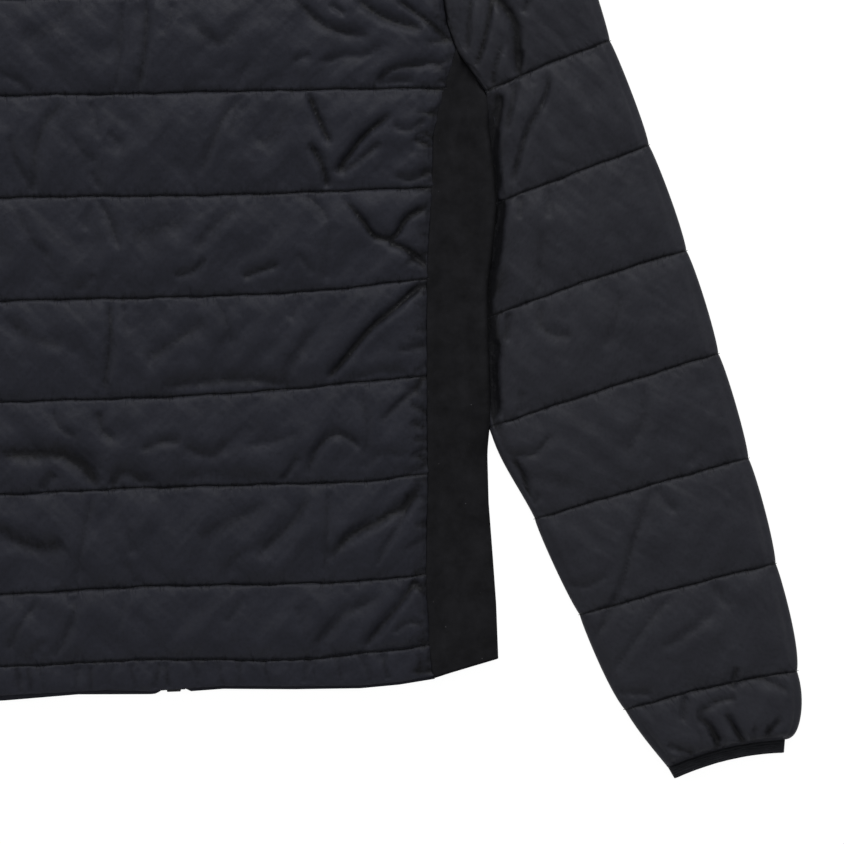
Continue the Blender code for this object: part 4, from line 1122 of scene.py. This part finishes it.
LEFT_SLEEVE_CREASES = (
    (((250, 470), (254, 446), (248, 420)), 4, 1.6),
    (((280, 470), (288, 440), (276, 414)), 4, 1.6),
    (((300, 402), (286, 372), (280, 340)), 3, 1.2),
    (((262, 392), (258, 352)), 5, 1.6),
    (((256, 316), (258, 290), (252, 262)), 5, 1.5),
    (((336, 340), (318, 318), (296, 306)), 6, 0.9),
    (((364, 330), (350, 300), (352, 276)), 4, 0.8),
    (((300, 250), (288, 232), (270, 224)), 5, 1.1),
    (((262, 244), (256, 200)), 4, 1.4),
    (((380, 250), (362, 232), (340, 226)), 5, 0.8),
    (((340, 190), (326, 160), (330, 130)), 5, 0.9),
    (((290, 170), (296, 140), (286, 116)), 4, 1.0),
    (((404, 180), (388, 160), (366, 152)), 4, 0.9),
    (((330, 116), (340, 82), (326, 50)), 3.5, 1.1),
    (((398, 130), (376, 104), (372, 76)), 5, 0.9),
    (((350, 60), (362, 34), (352, 2)), 4, 1.0),
    (((416, 60), (404, 30), (384, 12)), 4, 0.9),
    (((320, 20), (342, 6), (346, -14)), 3, 1.0),
    (((372, -16), (376, -34), (370, -50)), 3, 1.1),
    (((402, -18), (396, -36), (400, -50)), 2.5, 1.2),
    (((428, -14), (432, -32), (424, -46)), 3, 1.0),
    (((240, 540), (256, 516), (250, 490)), 4, 1.3),
    (((290, 550), (272, 536), (264, 506)), 5, 1.1),
)


def sleeve_ends(stations):
    """Outer and inner edge points of the right-hand sleeve at fractional stations."""
    lines = smooth_weights(len(SLEEVE_LINES), stations) @ np.array(SLEEVE_LINES)
    outer, inner = lines[:, :2].copy(), lines[:, 2:].copy()
    t = stations % 1.0
    bulge = np.where(stations < 1.0, CUFF_BULGE * (t * (1 - t) * 4) ** 0.5 * (1 - t) ** 0.5,
                     EDGE_BULGE * swell(t))
    outer[:, 0] += bulge
    inner[:, 0] -= np.where((stations > 1) & (stations < 3), INNER_BULGE * swell(t), 0.0)
    hole = np.array(SLEEVE_SEAM)
    sewn = stations >= ARMPIT_STATION
    inner[sewn, 1] = np.interp(stations[sewn], hole[:, 0], hole[:, 2])
    inner[sewn, 0] = np.interp(inner[sewn, 1], hole[:, 2], hole[:, 1])
    beside = ~sewn & (stations > FOLD_MEETS)
    fold = read_table(SIDE_FOLD, inner[beside, 1]) + SLEEVE_GAP
    pull = smooth_step((stations[beside] - FOLD_MEETS) / FOLD_BLEND)
    inner[beside, 0] = inner[beside, 0] * (1 - pull) + fold * pull
    return outer, inner


def sleeve_width(stations):
    """Distances between the sleeve's edges, as a column."""
    outer, inner = sleeve_ends(stations)
    return np.linalg.norm(outer - inner, axis=1)[:, None]


def sleeve_points(stations, distances):
    """Plan points of a sleeve at distances from its inner edge."""
    outer, inner = sleeve_ends(stations)
    width = sleeve_width(stations)
    across = (outer - inner) / width
    low, middle, high = (smooth_weights(len(SLEEVE_BOW), stations) @ np.array(SLEEVE_BOW)).T
    share = distances / width
    bow = (low[:, None] * (1 - share) * (1 - 2 * share) + middle[:, None] * 4 * share * (1 - share)
           + high[:, None] * share * (2 * share - 1))
    line = np.round(stations)
    on_line = (np.abs(stations - line) < 0.1) & (line > 0) & (line < len(SLEEVE_LINES) - 1)
    bow += needle_wander(distances, line[:, None]) * on_line[:, None]
    up = np.stack([-across[:, 1], across[:, 0]], 1)
    return inner[:, None] + across[:, None] * distances[..., None] + up[:, None] * bow[..., None]


def sleeve_levels():
    """Distances along the sleeve's middle line of its stitch lines."""
    lines = np.array(SLEEVE_LINES)
    middle = (lines[:, :2] + lines[:, 2:]) / 2
    return [0.0, *np.cumsum(np.linalg.norm(np.diff(middle, axis=0), axis=1))]


def cuff_gathers(random):
    """Small folds that run up from the elastic, as a table of folds."""
    folds = []
    for distance in np.arange(*GATHERS):
        distance += random.uniform(-2.5, 2.5)
        start = sleeve_points(np.array([0.0]), np.array([[distance]]))[0, 0]
        run = random.uniform(7, 18)
        end = start + (0.3 * run * (distance - CUFF_MIDDLE) / CUFF_MIDDLE + random.normal(0, 1.5), run)
        folds.append(((tuple(start), tuple(end)), random.uniform(1.6, 2.4), random.uniform(0.5, 1.4)))
    return folds


def settled_sleeve(random, rows, shares, creases):
    """Folds that the upper layer settles into, at these rows and shares of its width."""
    sim_rows = settled_rows(SLEEVE_SIM_STEPS)
    reach = sleeve_width(sim_rows) - 2 * SLEEVE_SIM_MARGIN
    plan = sleeve_points(sim_rows, SLEEVE_SIM_MARGIN + np.linspace(0, 1, SLEEVE_SIM_COLUMNS) * reach)
    folds = settled_folds(random, plan[..., 0], plan[..., 1], sim_rows % 1.0, creases, SLEEVE_NOISE)
    return refine_folds(folds, sim_rows, rows, shares)


def sleeve_top(random, rows, upper, tucked, in_tube, creases):
    """Heights of the upper layer at distances from the inner edge, and the shade painted on it in folds,
    under the side panel's edge and along the armhole, for its finish.
    """
    width = sleeve_width(rows)
    plan = sleeve_points(rows, upper)
    x, y = plan[..., 0], plan[..., 1]
    fold = settled_sleeve(random, rows, np.linspace(0, 1, upper.shape[1]), creases)
    rise = 0.5 + 0.5 * smooth_step(np.minimum(upper, width - upper) / SLEEVE_EASE)
    height = STITCH_WALL + CROWN * swell(rows % 1.0)[:, None] * rise + SLEEVE_SETTLED * fold
    past = np.maximum(upper - TUCK_HIDDEN, 0.0)
    spread = np.clip(1 + 0.35 * soft_noise(random, x.shape, 20.0, SLEEVE_CELL), 0.4, 2.0)
    # Painted shadow where the sleeve goes under the side panel's edge, and painted shade along the
    # armhole seam
    painted_shade_grid = tucked * sum(share * hump(past, reach * spread) for share, reach in PAINTED_TUCK_SHADOWS)
    painted_shade_grid += (1 - in_tube) * ARMHOLE_SEAM_PAINTED_SHADE[0] * hump(upper, ARMHOLE_SEAM_PAINTED_SHADE[1])
    press_folds(height, x, y, (*creases, *cuff_gathers(random)), painted_shade_grid=painted_shade_grid)
    small_folds = []
    for line in range(1, len(SLEEVE_LINES) - 1):
        reach = np.linspace(4, width[rows == line][0, 0] - 4, 40)
        small_folds += puckers(random, *sleeve_points(np.array([float(line)]), reach[None])[0].T)
    press_folds(height, x, y, small_folds)
    height -= NEEDLE_DEPTH * hump(stitch_distance(rows, sleeve_levels()), NEEDLE_WIDTH)
    top = BACK_Z + np.maximum(height, THINNEST)
    top = TUCK_TOP + (top - TUCK_TOP) * (1 - tucked * (1 - smooth_step(past / TUCK_RISE)))
    return CUFF_TOP + (top - CUFF_TOP) * smooth_step(rows / CUFF_EASE)[:, None], painted_shade_grid


def sleeve_underside(random, rows, lower):
    """Heights of the lower layer, which lies on the table, without its run-out at the edges."""
    plan = sleeve_points(rows, lower)
    folds = []
    for line in range(1, len(SLEEVE_LINES) - 1):
        folds += puckers(random, *plan[rows == line][0, ::-1].T, UNDER_PUCKERS)
    return pressed_face(random, plan[..., 0], plan[..., 1], stitch_distance(rows, sleeve_levels()),
                        folds)


def make_sleeve(name, side, random, creases):
    """One sleeve, drawn on the right and mirrored for the left. Returns its stitch lines."""
    levels = sleeve_levels()
    rows = fine_rows(levels, SLEEVE_CELL)
    width = sleeve_width(rows)
    in_tube = np.clip((ARMPIT_STATION - rows) / ARMPIT_BLEND, 0, 1)[:, None]
    tucked = smooth_step((rows - TUCK_START) / TUCK_BLEND)[:, None] * in_tube
    inner_fold = (SLEEVE_FOLD + (INNER_FOLD - SLEEVE_FOLD) * tucked) * in_tube
    outer_fold = np.minimum(SLEEVE_FOLD, 0.3 * width)
    level_width = width - outer_fold - inner_fold
    upper = inner_fold + np.linspace(0, 1, SLEEVE_COLUMNS) * level_width
    lower = inner_fold + np.linspace(1, 0, UNDER_COLUMNS) * level_width
    top, painted_shade_grid = sleeve_top(random, rows, upper, tucked, in_tube, creases)
    lower_z = sleeve_underside(random, rows, lower)
    run_out = np.minimum(lower - inner_fold, width - outer_fold - lower) / UNDER_EASE
    lower_z *= np.clip(run_out, 0, 1)

    angles = np.radians((72, 50, 25, 0, -25, -50, -72))
    outer_turn = width - outer_fold * (1 - np.cos(angles))
    inner_turn = inner_fold * (1 - np.cos(angles[::-1]))
    outer_z = 0.5 * top[:, -1:] * (1 + np.sin(angles))
    inner_z = 0.5 * top[:, :1] * (1 + np.sin(angles[::-1]))
    z = np.concatenate([top, outer_z, lower_z, inner_z], 1)
    distances = np.concatenate([upper, outer_turn, lower, inner_turn], 1)
    outer_skin = np.concatenate([sleeve_points(rows, distances), z[..., None]], -1)

    coarse = np.arange(0, len(rows), HOLLOW_ROWS)
    coarse[-1] = len(rows) - 1
    near_cuff = smooth_step(rows[coarse] / 0.5)[:, None]
    low, high = (face + growth * near_cuff for face, growth in zip(HOLLOW_CUFF, HOLLOW_GROWTH))
    hollow_z = low + (high - low) * (z[coarse] > top[coarse, -1:] / 2)
    inset = (HOLLOW_INSET + TUCKED_INSET * tucked[coarse]) * in_tube[coarse]
    reach = np.clip(distances[coarse], inset, width[coarse] - HOLLOW_INSET)
    hollow = np.concatenate([sleeve_points(rows[coarse], reach), hollow_z[..., None]], -1)
    outer_skin, hollow = for_side(side, outer_skin), for_side(side, hollow)
    sleeve = cloth_wall(name, outer_skin, hollow, sleeve_taffeta, closed=True)

    along = np.interp(rows, range(len(levels)), levels)[:, None] * np.ones_like(z)
    seam = np.minimum(stitch_distance(rows, levels), along[-1, 0] - along + AT_SEAM)
    sewn_edge = np.where(in_tube > 0, NO_SEAM, distances + AT_SEAM)
    seam = np.minimum(np.minimum(seam, sewn_edge), along + AT_SEAM)
    cloth = np.stack([distances + UNDER_SHIFT * (z < top[:, -1:] / 2), along], -1)
    fold = np.zeros_like(z)
    fold[:, :SLEEVE_COLUMNS] = painted_shade_grid
    describe(sleeve, *(turned(side, values) for values in (cloth, seam, fold)))
    dress(sleeve, name.replace("quilted_", ""))
    lines = [outer_skin[rows == line][0] for line in range(1, len(SLEEVE_LINES) - 1)]
    return [np.maximum(line, (-np.inf, -np.inf, THREAD_LOW)) for line in lines]


# The sleeves take a copy of the taffeta painted lighter than the back's, for the stronger sheen that
# their cross grain catches
sleeve_taffeta = make_taffeta("navy_taffeta_cross_grain", "#1e1e24", "#2b2c32", 0.3)
sleeve_random = np.random.default_rng(43)
sleeve_paths = make_sleeve("quilted_sleeve_right", 1, sleeve_random, SLEEVE_CREASES)
sleeve_paths += make_sleeve("quilted_sleeve_left", -1, sleeve_random, LEFT_SLEEVE_CREASES)


# ---- Cuff bindings ------------------------------------------------------------------------
# Narrow ribbed elastic, sewn on stretched, so it draws the sleeve in and bows a little. The
# ribs run round the wrist.

# Outer end x and y, inner end x and y
BINDING_TOP = (437.0, -52.0, 355.5, -68.0)
BINDING_BOTTOM = (436.0, -60.5, 359.5, -75.5)
BINDING_STRIP = 8.8               # width of the strip as it shows
BINDING_HEIGHT = 6.0
BINDING_FOLD = 3.0
BINDING_WALL = 1.6
BINDING_BOW = 4.0
BINDING_LAP = 1.2                 # it runs this far into the sleeve's end, and is thinner there
LAP_PINCH = 0.86
BINDING_ROWS, BINDING_COLUMNS = 25, 60
RIB_PITCH = 1.5
RIB_HEIGHT, RUCK_HEIGHT = 0.25, 0.18


def make_elastic():
    """Covered rubber: knitted over its ribs, dull, with a faint blue cast."""
    made, tree, shader = start_material("black_ribbed_elastic", Roughness=0.8,
                                        Specular_IOR_Level=0.15)
    knit = object_texture(tree, "ShaderNodeTexNoise", Scale=900.0, Detail=2.0)
    finish(tree, shader, mix_tints(tree, knit, "#0f1013", "#1c1d22"), knit, 0.5)
    return made


def make_binding(name, side, random):
    """One binding, drawn on the right and mirrored for the left."""
    rows = np.linspace(0, 1, BINDING_ROWS)[:, None]
    top, bottom = np.array(BINDING_TOP), np.array(BINDING_BOTTOM)
    lap = BINDING_LAP / np.linalg.norm(bottom[:2] - top[:2])
    ends = top + (bottom - top) * (rows * (1 + lap) - lap)
    lapped = rows * (1 + lap) < lap
    outer_end, inner_end = ends[:, :2], ends[:, 2:]
    length = np.linalg.norm(outer_end - inner_end, axis=1)[:, None]
    across = (outer_end - inner_end) / length
    turn = np.radians((67, 45, 22, 0, -22, -45, -67))
    back = turn[::-1]
    flat = BINDING_FOLD + np.linspace(0, 1, BINDING_COLUMNS) * (length - 2 * BINDING_FOLD)
    inner_turn = BINDING_FOLD * (1 - np.cos(back)) * np.ones_like(length)
    outer_turn = length - BINDING_FOLD * (1 - np.cos(turn))
    distance = np.concatenate([flat, outer_turn, flat[:, ::-1], inner_turn], 1)
    level = np.zeros(BINDING_COLUMNS)
    lift = np.concatenate([level + 1, np.sin(turn), level - 1, np.sin(back)])
    wall_way = np.concatenate([level, -np.cos(turn), level, np.cos(back)])
    ribs = RIB_HEIGHT * np.sin(2 * pi * rows * BINDING_STRIP / RIB_PITCH)
    ruck = RUCK_HEIGHT * soft_noise(random, distance.shape, 4.0, 0.9)
    skins = []
    for wall, knit in ((0.0, ribs + ruck), (BINDING_WALL, 0.0)):
        reach = distance + wall * wall_way
        share = reach / length
        plan = inner_end[:, None] + across[:, None] * reach[..., None]
        plan[..., 1] += BINDING_BOW * 4 * share * (1 - share)
        half = BINDING_HEIGHT / 2 - wall
        z = BINDING_HEIGHT / 2 + half * np.where(lapped, LAP_PINCH, 1.0) * lift * np.ones_like(reach)
        z = z + np.clip(lift, -0.2, 1) * knit * ~lapped
        skins.append(for_side(side, np.concatenate([plan, z[..., None]], -1)[::-1]))
    binding = cloth_wall(name, *skins, elastic, closed=True)
    dress(binding, name.replace("elastic_", ""))


elastic = make_elastic()
binding_random = np.random.default_rng(57)
make_binding("elastic_cuff_right", 1, binding_random)
make_binding("elastic_cuff_left", -1, binding_random)


# ---- Collar -------------------------------------------------------------------------------
# One padded stand collar, folded flat at the neck points, so that its back half lies over its
# front half. A line of stitches runs inside its upper edge.

COLLAR_TOP = (80.0, 706.0)        # top of its side fold
COLLAR_TOP_MIDDLE = 698.0         # top edge at the middle of the back
COLLAR_FRONT_TOP = 628.0          # top edge at the zip
COLLAR_WALL = 2.6
COLLAR_CROWN = 2.2
COLLAR_FOLD = 6.0
COLLAR_TURN_ANGLE = 13.5          # place on the front neck that its side fold reaches
COLLAR_EDGE_STITCH = 6.0          # distance of the stitches from its upper edge
EDGE_STITCH_WIDTH = 1.1           # width of the groove that they pull
COLLAR_ROWS = 36
COLLAR_CREASES = (
    (((-40, 652), (-28, 676), (-32, 694)), 5, 0.9), (((22, 646), (30, 668), (18, 690)), 6, 0.9),
    (((60, 656), (66, 676), (58, 696)), 4, 0.8), (((-70, 660), (-62, 682), (-68, 698)), 4, 0.8),
    (((-10, 644), (-4, 662)), 3, 0.6), (((44, 690), (50, 672)), 3, 0.6),
)


def front_neck(angle, inset=0.0):
    """Point on the front neck seam, from the neck point at 0 down to the zip at 90 degrees."""
    return (FRONT_EDGE + (FRONT_NECK[0] - inset) * cos(radians(angle)),
            NECK_POINT_Y - (FRONT_NECK[1] - inset) * sin(radians(angle)))


def collar_columns():
    """Rows of seam x and y, top x and y, level of the outer and the inner skin, share of the
    swell, and inset of the inner skin, from the middle of the back round to the zip."""
    columns = []
    neck_x = BACK_NECK[-1][0]
    for x in np.linspace(0, COLLAR_TOP[0], 31):
        top_y = COLLAR_TOP_MIDDLE + (COLLAR_TOP[1] - COLLAR_TOP_MIDDLE) * (x / neck_x) ** 2
        columns.append((x, read_table(BACK_NECK, x) - OVERLAP, x * COLLAR_TOP[0] / neck_x, top_y,
                        BACK_Z + COLLAR_WALL, BACK_Z, 1.0, 0.0))
    for angle in (70, 50, 25, 0, -25, -50, -70):
        inset = COLLAR_FOLD * (1 - cos(radians(angle)))
        lift = 0.5 * (1 + sin(radians(angle)))
        seam = (neck_x - inset, read_table(BACK_NECK, neck_x - inset) - OVERLAP)
        if angle < 0:
            seam = front_neck(COLLAR_TURN_ANGLE, -OVERLAP)
        columns.append((*seam, COLLAR_TOP[0] - inset, COLLAR_TOP[1], (BACK_Z + COLLAR_WALL) * lift,
                        FRONT_WALL + (BACK_Z - FRONT_WALL) * lift, max(0.0, lift * 2 - 1),
                        0.7 * COLLAR_FOLD * cos(radians(angle))))
    for angle in np.linspace(COLLAR_TURN_ANGLE + 5, 90, 30):
        top_x = FRONT_EDGE + (COLLAR_TOP[0] - FRONT_EDGE) * cos(radians(angle))
        top_y = COLLAR_TOP[1] - (COLLAR_TOP[1] - COLLAR_FRONT_TOP) * sin(radians(angle))
        columns.append((*front_neck(angle, -OVERLAP), top_x, top_y, 0.0, FRONT_WALL, 0.0, 0.0))
    return np.array(columns)


def make_collar(random):
    """The collar. Returns the line of stitches inside its upper edge."""
    right = collar_columns()
    left = right[:0:-1] * (-1, 1, -1, 1, 1, 1, 1, -1)
    columns = np.concatenate([left, right])
    seam, top = columns[:, :2], columns[:, 2:4]
    outer_level, inner_level, swelling, inset = columns[:, 4:].T
    v = np.linspace(0, 1, COLLAR_ROWS)[:, None]
    plan = seam + (top - seam) * v[..., None]
    reach = np.linalg.norm(top - seam, axis=1)
    from_stitch = (1 - v) * reach - COLLAR_EDGE_STITCH
    groove = hump(from_stitch, EDGE_STITCH_WIDTH)
    rise = COLLAR_CROWN * swell(v) - groove
    rise += 0.25 * soft_noise(random, plan.shape[:2], 14.0, 2.6) * swell(v)
    press_folds(rise, plan[..., 0], plan[..., 1], COLLAR_CREASES)
    outer_z = outer_level + np.maximum(rise, -0.8) * swelling
    outer_z = np.where(outer_level <= 0, 0.9 * groove, outer_z)
    outer = np.concatenate([plan, outer_z[..., None]], -1)
    inner_plan = plan - np.stack([inset, 0 * inset], -1)
    inner = np.concatenate([inner_plan, (inner_level * np.ones_like(v))[..., None]], -1)
    collar = cloth_wall("stand_collar", outer, inner, taffeta)
    describe(collar, plan, np.minimum(v * reach, np.abs(from_stitch)) + 0.2)
    dress(collar, "collar")
    return outer[int(np.argmin(np.abs(from_stitch.mean(1))))]


stitch_paths.append(make_collar(np.random.default_rng(61)))


# ---- Zip ----------------------------------------------------------------------------------
# A closed coil zip between the fronts: woven polyester tapes, two interlocked nylon coils, a
# moulded box at the foot, and a painted slider with its tab at the collar.

TAPE_START, TAPE_END = 6.3, 622.0
TAPE_FOOT = -0.9                  # the tapes run down beside the box, into the hem
TAPE_BOTTOM, TAPE_TOP = 4.2, 5.0
TAPE_LINES = (0.4, 4.0, 7.9)      # from its inner edge out to the edge under the front
TAPE_ROWS, RAIL_POINTS = 60, 120        # points along a tape, and along the line of a coil
COIL_PITCH = 2.0
COIL_BOTTOM, COIL_TOP = 3.6, 5.6
COIL_WIRE = 0.36                  # radius of the monofilament
COIL_LENGTH = 0.25                # length of the zip that one loop takes
MERGED = 1e-6                     # corners of a hard solid that lie this close are one
ZIP_BOX_ROUND, SLIDER_ROUND, TAB_ROUND = 0.7, 0.22, 0.2


def make_tape_weave():
    """Herringbone polyester tape."""
    made, tree, shader = start_material("woven_zip_tape", Roughness=0.75, Specular_IOR_Level=0.2)
    weave = object_texture(tree, "ShaderNodeTexWave", Scale=420.0, Distortion=0.6,
                           bands_direction="DIAGONAL")
    finish(tree, shader, mix_tints(tree, weave, "#101114", "#1d1e23"), weave, 0.5)
    return made


def make_nylon():
    """Moulded and drawn nylon, black, with a soft gloss that handling has dulled in places."""
    made, tree, shader = start_material("black_nylon", Base_Color=linear("#16171a"),
                                        Specular_IOR_Level=0.35)
    rub = object_texture(tree, "ShaderNodeTexNoise", Scale=380.0, Detail=4.0)
    tree.links.new(map_range(tree, rub, To_Min=0.35, To_Max=0.6), shader.inputs["Roughness"])
    return made


def make_painted_metal():
    """Zinc casting under black paint, worn to bare metal in small chips."""
    made, tree, shader = start_material("painted_zinc", Roughness=0.42)
    wear = object_texture(tree, "ShaderNodeTexNoise", Scale=520.0, Detail=6.0)
    chips = map_range(tree, wear, From_Min=0.68, From_Max=0.73)
    finish(tree, shader, mix_tints(tree, chips, "#1b1c1f", "#4a4b4f"))
    tree.links.new(chips, shader.inputs["Metallic"])
    return made


def apply_modifiers(made):
    """Keeps an object's mesh as its modifiers leave it."""
    mesh = bpy.data.meshes.new_from_object(made.evaluated_get(bpy.context.evaluated_depsgraph_get()))
    made.modifiers.clear()
    made.data = mesh
    mesh.name = made.name
    return mesh


def repeat_along(name, paths, shape, spacing, material):
    """Copies of a small mesh at even spacing along paths, each turned to its path."""
    points, edges = [], []
    for path in paths:
        edges += [(len(points) + k, len(points) + k + 1) for k in range(len(path) - 1)]
        points += (path + (0.0, HEM_Y, 0.0)).tolist()
    mesh = bpy.data.meshes.new(name)
    mesh.from_pydata((np.array(points) * MM).tolist(), edges, [])
    made = link_object(name, mesh)

    tree = bpy.data.node_groups.new(name, "GeometryNodeTree")
    sockets = {}
    for socket, kind in (("Geometry", "Geometry"), ("Spacing", "Float"), ("Shape", "Object"),
                         ("Material", "Material")):
        sockets[socket] = tree.interface.new_socket(socket, in_out="INPUT",
                                                    socket_type="NodeSocket" + kind).identifier
    tree.interface.new_socket("Geometry", in_out="OUTPUT", socket_type="NodeSocketGeometry")
    given = add_node(tree, "NodeGroupInput").outputs
    curve = add_node(tree, "GeometryNodeMeshToCurve", [("Mesh", given["Geometry"])])
    places = add_node(tree, "GeometryNodeResampleCurve", mode="LENGTH",
                      links=[("Curve", curve.outputs["Curve"]), ("Length", given["Spacing"])])
    tangent = add_node(tree, "GeometryNodeInputTangent")
    turn = add_node(tree, "FunctionNodeAlignRotationToVector", [("Vector", tangent.outputs["Tangent"])],
                    axis="X", pivot_axis="Z")
    source = add_node(tree, "GeometryNodeObjectInfo", [("Object", given["Shape"])])
    copies = add_node(tree, "GeometryNodeInstanceOnPoints",
                      [("Points", places.outputs["Curve"]), ("Instance", source.outputs["Geometry"]),
                       ("Rotation", turn.outputs["Rotation"])])
    real = add_node(tree, "GeometryNodeRealizeInstances", [("Geometry", copies.outputs["Instances"])])
    painted = add_node(tree, "GeometryNodeSetMaterial", [("Geometry", real.outputs["Geometry"]),
                                                         ("Material", given["Material"])])
    add_node(tree, "NodeGroupOutput", [("Geometry", painted.outputs["Geometry"])])
    modifier = made.modifiers.new("repeat", "NODES")
    modifier.node_group = tree
    for socket, value in (("Spacing", spacing * MM), ("Shape", shape), ("Material", material)):
        modifier[sockets[socket]] = value
    apply_modifiers(made)
    bpy.data.objects.remove(shape)
    return made


def tube_faces(rings, sides, way):
    """Faces of a tube of rings with closed ends. The way, 1 or -1, is how the rings turn."""
    index = np.arange(rings * sides).reshape(rings, sides)
    return (grid_faces(closed_ring(index)[:, ::way])
            + [index[0, ::-way].tolist(), index[-1, ::way].tolist()])


def make_tube(name, path, radius, sides):
    """Tube of even radius along a path in the XZ plane or near it, with closed ends."""
    path = np.array(path, float)
    tangents = np.gradient(path, axis=0)
    tangents /= np.linalg.norm(tangents, axis=1)[:, None]
    rings = []
    for point, tangent in zip(path, tangents):
        lift = np.cross(tangent, (0.0, 1.0, 0.0))
        lift /= np.linalg.norm(lift)
        out = np.cross(lift, tangent)
        rings.append([point + radius * (cos(2 * pi * k / sides) * out + sin(2 * pi * k / sides) * lift)
                      for k in range(sides)])
    mesh = bpy.data.meshes.new(name)
    mesh.from_pydata((np.concatenate(rings) * MM).tolist(), [], tube_faces(len(path), sides, -1))
    mesh.shade_smooth()
    return link_object(name, mesh)


def make_zip_side(name, side):
    """One tape, and its coil: loops that reach past the middle between the other side's."""
    section = [(out, TAPE_BOTTOM) for out in TAPE_LINES] + [(out, TAPE_TOP) for out in TAPE_LINES[::-1]]
    rings = [[(zip_x(level) + side * out, level, z) for out, z in section[::-side]]
             for level in np.linspace(TAPE_FOOT, TAPE_END, TAPE_ROWS)]
    faces = tube_faces(len(rings), len(section), 1)
    tape = add_object(name, np.concatenate(rings), faces, tape_weave)
    dress(tape, name.replace("woven_", ""))
    low, high = COIL_BOTTOM + COIL_WIRE, COIL_TOP - COIL_WIRE
    path = ((2.7, low), (1.2, low), (-0.1, low + 0.15), (-0.5, (low + high) / 2), (-0.1, high - 0.15),
            (1.2, high), (2.7, high))
    # A copy's own X runs up the zip, so its Y runs to the wearer's left
    loop = make_tube("coil_loop", [(COIL_LENGTH * k / 6, -side * out, z)
                                   for k, (out, z) in enumerate(path)], COIL_WIRE, 6)
    offset = 0.5 * COIL_PITCH if side > 0 else 0
    rail = np.linspace(TAPE_START + 1 + offset, TAPE_END - 1, RAIL_POINTS)
    coil = repeat_along(name.replace("woven_zip_tape", "nylon_coil"),
                        [np.stack([zip_x(rail), rail, 0 * rail], 1)], loop, COIL_PITCH, nylon)
    dress(coil)


def rounded_copy(node, name, radius, material, body="garment"):
    """Finer twin of a small hard solid, with its edges rounded."""
    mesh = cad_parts[node].data.copy()
    mesh.materials.clear()
    mesh.materials.append(material)
    shell = bmesh.new()
    shell.from_mesh(mesh)
    bmesh.ops.remove_doubles(shell, verts=shell.verts, dist=MERGED)
    bmesh.ops.dissolve_limit(shell, angle_limit=radians(1.0), verts=shell.verts, edges=shell.edges)
    shell.to_mesh(mesh)
    shell.free()
    made = link_object(name, mesh)
    edge = made.modifiers.new("edge", "BEVEL")
    edge.width = radius * MM
    edge.segments = 3
    edge.limit_method = "ANGLE"
    rounded = apply_modifiers(made)
    rounded.shade_smooth()
    rounded.set_sharp_from_angle(angle=radians(40.0))
    dress(made, node, body)


tape_weave, nylon, painted_metal = make_tape_weave(), make_nylon(), make_painted_metal()
make_zip_side("woven_zip_tape_right", 1)
make_zip_side("woven_zip_tape_left", -1)
rounded_copy("zip_box", "moulded_zip_box", ZIP_BOX_ROUND, nylon)
rounded_copy("slider", "cast_slider", SLIDER_ROUND, painted_metal)
rounded_copy("pull_tab", "cast_pull_tab", TAB_ROUND, painted_metal, "pull_tab")


# ---- Stitches -----------------------------------------------------------------------------
# Lockstitch in navy thread along every quilting line and round the collar's upper edge, 3 mm
# a stitch, sunk into the padding.

STITCH_PITCH = 3.0
# Side view of a stitch's thread: along the line, and up
STITCH_PATH = ((-1.15, -0.25), (-0.75, 0.02), (0.0, 0.1), (0.75, 0.02), (1.15, -0.25))
THREAD_RADIUS = 0.22


def make_thread():
    """Spun polyester sewing thread, twisted, a touch glossier than the cloth."""
    made, tree, shader = start_material("navy_thread", Roughness=0.55, Specular_IOR_Level=0.25)
    twist = object_texture(tree, "ShaderNodeTexNoise", Scale=2600.0, Detail=2.0)
    finish(tree, shader, mix_tints(tree, twist, "#111217", "#1d1e26"))
    return made


def lockstitch(name, paths, material):
    """Stitches along paths, as one piece."""
    shape = make_tube("stitch", [(x, 0.0, z) for x, z in STITCH_PATH], THREAD_RADIUS, 5)
    dress(repeat_along(name, paths, shape, STITCH_PITCH, material))


thread = make_thread()
lockstitch("body_stitches", stitch_paths, thread)
lockstitch("sleeve_stitches", sleeve_paths, thread)
